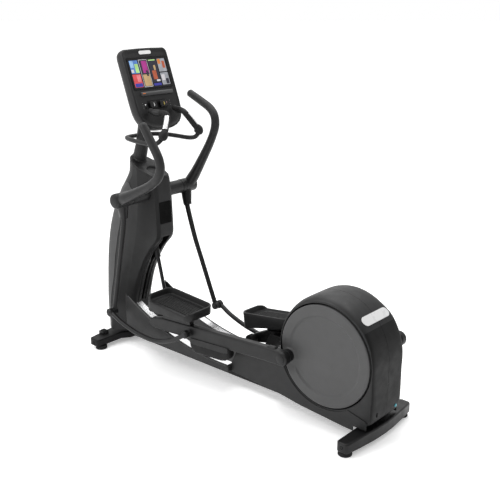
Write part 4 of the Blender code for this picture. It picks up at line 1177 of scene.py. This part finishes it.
def toggles():
    """The recess with two paddles, each with a bright mark."""
    recess = console_slab(rounded_rectangle(0.14, 0.056, 0.008, 5), -0.0035, -0.0019, shift=(-0.009, KEYS_Z))
    round_edges(piece("toggle_recess", recess, BLACK), 0.0006, 2)
    # (x, half width, half height), hollowed across the front
    levels = (
        (0.0046, 0.0215, 0.0165), (0.0058, 0.0228, 0.0178), (0.0115, 0.0228, 0.0178),
        (0.0142, 0.0215, 0.0165), (0.0152, 0.018, 0.013),
    )
    mark = [
        (0.014, -0.189, 0.0022), (0.0166, -0.186, 0.0024), (0.0168, -0.179, 0.002), (0.0146, -0.172, 0.0012),
    ]
    for side, word in SIDES:
        body, middle = word + "_toggle", side * 0.037 - 0.009
        rings = []
        for x, wide, tall in levels:
            hollow = 0.0025 if x > 0.012 else 0
            outline = rounded_rectangle(2 * wide, 2 * tall, 0.006, 5)
            rings.append([(x - hollow * (1 - (v / 0.018) ** 2), middle + u, KEYS_Z + v) for u, v in outline])
        piece(word + "_toggle_paddle", skin(rings), DARK, body, body, 45, console_place)
        light = WHITE if side == LEFT else lit("toggle_yellow", (0.55, 0.42, 0.1), 0.25)
        bm = tube([(x, middle, z, radius) for x, z, radius in mark], 4, 12)
        piece(word + "_toggle_mark", bm, light, body, matrix=console_place)


def round_keys():
    """A column of status dots, a small light and a round key on each side of the toggles."""
    dot = [(0.0018, -0.003), (0.0018, -0.0012), (0.0012, -0.0005), (0.0003, -0.0003)]
    light = [(0.0034, -0.003), (0.0034, -0.001), (0.0026, -0.0002), (0.0005, 0.0)]
    key = [(0.0065, -0.003), (0.0065, -0.0018), (0.0055, -0.0012), (0.001, -0.001)]
    dim = lit("dot_dim", (0.3, 0.3, 0.3), 0.25)
    bright, pink = lit("dot_bright", (0.85, 0.85, 0.85), 0.6), lit("dot_pink", (0.7, 0.35, 0.38), 0.35)

    def button(name, profile, y, z, sides, material):
        place = console_place @ moved((0, y, z)) @ tilted(pi / 2)
        piece(name, lathe(profile, place, sides), material)

    for column, dots_y, keys_y, glow in (("left", -0.112, -0.094, bright), ("right", 0.088, 0.063, pink)):
        for k in range(3):
            button(f"{column}_dot_{k}", dot, dots_y, -0.165 - 0.013 * k, 12, dim)
        button(column + "_key_light", light, keys_y, -0.174, 16, glow)
        button(column + "_round_key", key, keys_y, -0.19, 24, BLACK)


# Fixed grips, as (x, y, z, radius) on the right side

CONTACT_BAR = [
    (-0.59, 0.092, 1.472, 0.0152), (-0.545, 0.086, 1.463, 0.0154), (-0.505, 0.074, 1.4635, 0.0155),
    (-0.48, 0.067, 1.46, 0.0158), (-0.4645, 0.072, 1.445, 0.0165), (-0.45, 0.092, 1.414, 0.0172),
    (-0.438, 0.114, 1.381, 0.0176), (-0.434, 0.124, 1.368, 0.0178),
]
GRIP_BULB = [
    (-0.435, 0.12, 1.3745, 0.018), (-0.4325, 0.127, 1.366, 0.0225), (-0.4325, 0.133, 1.356, 0.0255),
    (-0.435, 0.137, 1.3455, 0.025), (-0.44, 0.137, 1.337, 0.019),
]
GRIP_JOINT = [
    (-0.56, 0.0885, 1.4655, 0.017), (-0.545, 0.086, 1.4635, 0.0185), (-0.525, 0.08, 1.463, 0.0185),
    (-0.51, 0.0755, 1.4634, 0.0168),
]
HOOP_HALF = [
    (-0.441, 0.141, 1.334, 0.0125), (-0.475, 0.145, 1.309, 0.0125), (-0.53, 0.147, 1.299, 0.0125),
    (-0.62, 0.143, 1.2995, 0.0125), (-0.7, 0.13, 1.301, 0.0125), (-0.775, 0.098, 1.299, 0.0125),
    (-0.818, 0.046, 1.295, 0.0125),
]


def contact_grips():
    for side, word in SIDES:
        bar = on_side(side, CONTACT_BAR)
        name = word + "_contact_grip"
        piece(word + "_contact_bar", tube(bar, 6, 32, (True, False)), RUBBER, "base", name, 60)
        piece(word + "_grip_bulb", tube(on_side(side, GRIP_BULB), 5, 32), RUBBER, smooth=60)
        piece(word + "_grip_joint", tube(on_side(side, GRIP_JOINT), 4, 32), DARK, smooth=60)
        piece(word + "_contact", metal_contact(side, bar[4:7]), CHROME, smooth=60)
    hoop = on_side(RIGHT, HOOP_HALF) + on_side(LEFT, reversed(HOOP_HALF))
    piece("hoop_bar", tube(hoop, 7, 24), DARK, "base", "grip_hoop", 60)


def metal_contact(side, points):
    """A thin strip wrapped round the outboard face of a bar."""
    path = smooth_path(points, 8)
    spots = [Vector(point[:3]) for point in path]
    reach = radians(62)
    grids = {0.0011: [], 0.0002: []}
    for lift, rows in grids.items():
        for spot, tangent, (*_, radius) in zip(spots, directions(spots), path):
            out = Vector((0.35, side, 0.3))
            out = (out - tangent * out.dot(tangent)).normalized()
            beside = tangent.cross(out)
            turns = [(cos(a), sin(a)) for a in spaced(-reach, reach, 10)]
            rows.append([spot + (out * c + beside * s) * (radius + lift) for c, s in turns])
    return plate(*grids.values())


# Stage


def studio_world():
    """A soft studio sky, brighter on the camera's far side. The camera itself sees plain white."""
    world = bpy.data.worlds.new("studio")
    world.use_nodes = True
    tree = world.node_tree
    facing = tree.nodes.new("ShaderNodeVectorMath")
    facing.operation = "DOT_PRODUCT"
    facing.inputs[1].default_value = Vector((-0.75, 0.32, 0.58)).normalized()
    tree.links.new(add(tree, "TexCoord", {}).outputs["Generated"], facing.inputs[0])
    level = remap(tree, facing.outputs["Value"], (-0.75, 0.9), (0.2, 1.25))
    ray = add(tree, "LightPath", {}).outputs["Is Camera Ray"]
    seen = add(tree, "Mix", {"Factor": ray, "A": level, "B": 1.0}).outputs["Result"]
    wire(tree, tree.nodes["Background"], {"Strength": seen, "Color": (1, 1, 1, 1)})
    bpy.context.scene.world = world


def stage():
    bpy.ops.mesh.primitive_plane_add(size=600, location=(0, 0, -0.0005))
    floor = bpy.context.object
    floor.name = "floor"
    pale = shade("pale_floor", (0.93, 0.93, 0.93), 0.9, variation=0.01, bump=0.02)
    glow = {"Emission Color": (1, 1, 1, 1), "Emission Strength": 0.32}
    wire(pale.node_tree, pale.node_tree.nodes["Principled BSDF"], glow)
    floor.data.materials.append(pale)
    studio_world()
    for name, at, size, power in (("key", (-1.4, -3.0, 3.2), 2.2, 85), ("top", (-0.2, 0.8, 4.0), 3.0, 95)):
        data = bpy.data.lights.new(name, "AREA")
        data.energy, data.size = power, size
        light = bpy.data.objects.new(name, data)
        light.location = at
        direction = Vector((0, 0, 0.6)) - Vector(at)
        light.rotation_euler = direction.to_track_quat("-Z", "Y").to_euler()
        bpy.context.scene.collection.objects.link(light)
    bpy.context.scene.view_settings.view_transform = "Standard"


carried_over()
drive_covers()
crank_discs()
rear_badge()
rear_details()
levelling_feet()
crossfeet()
transport_wheels()
side_panels()
rollers()
foot_arms()
pedals()
handlebars()
links()
tower_shells()
tower_side_panels()
tower_window()
tower_slot()
tower_cap()
mast_collar()
console()
contact_grips()
stage()
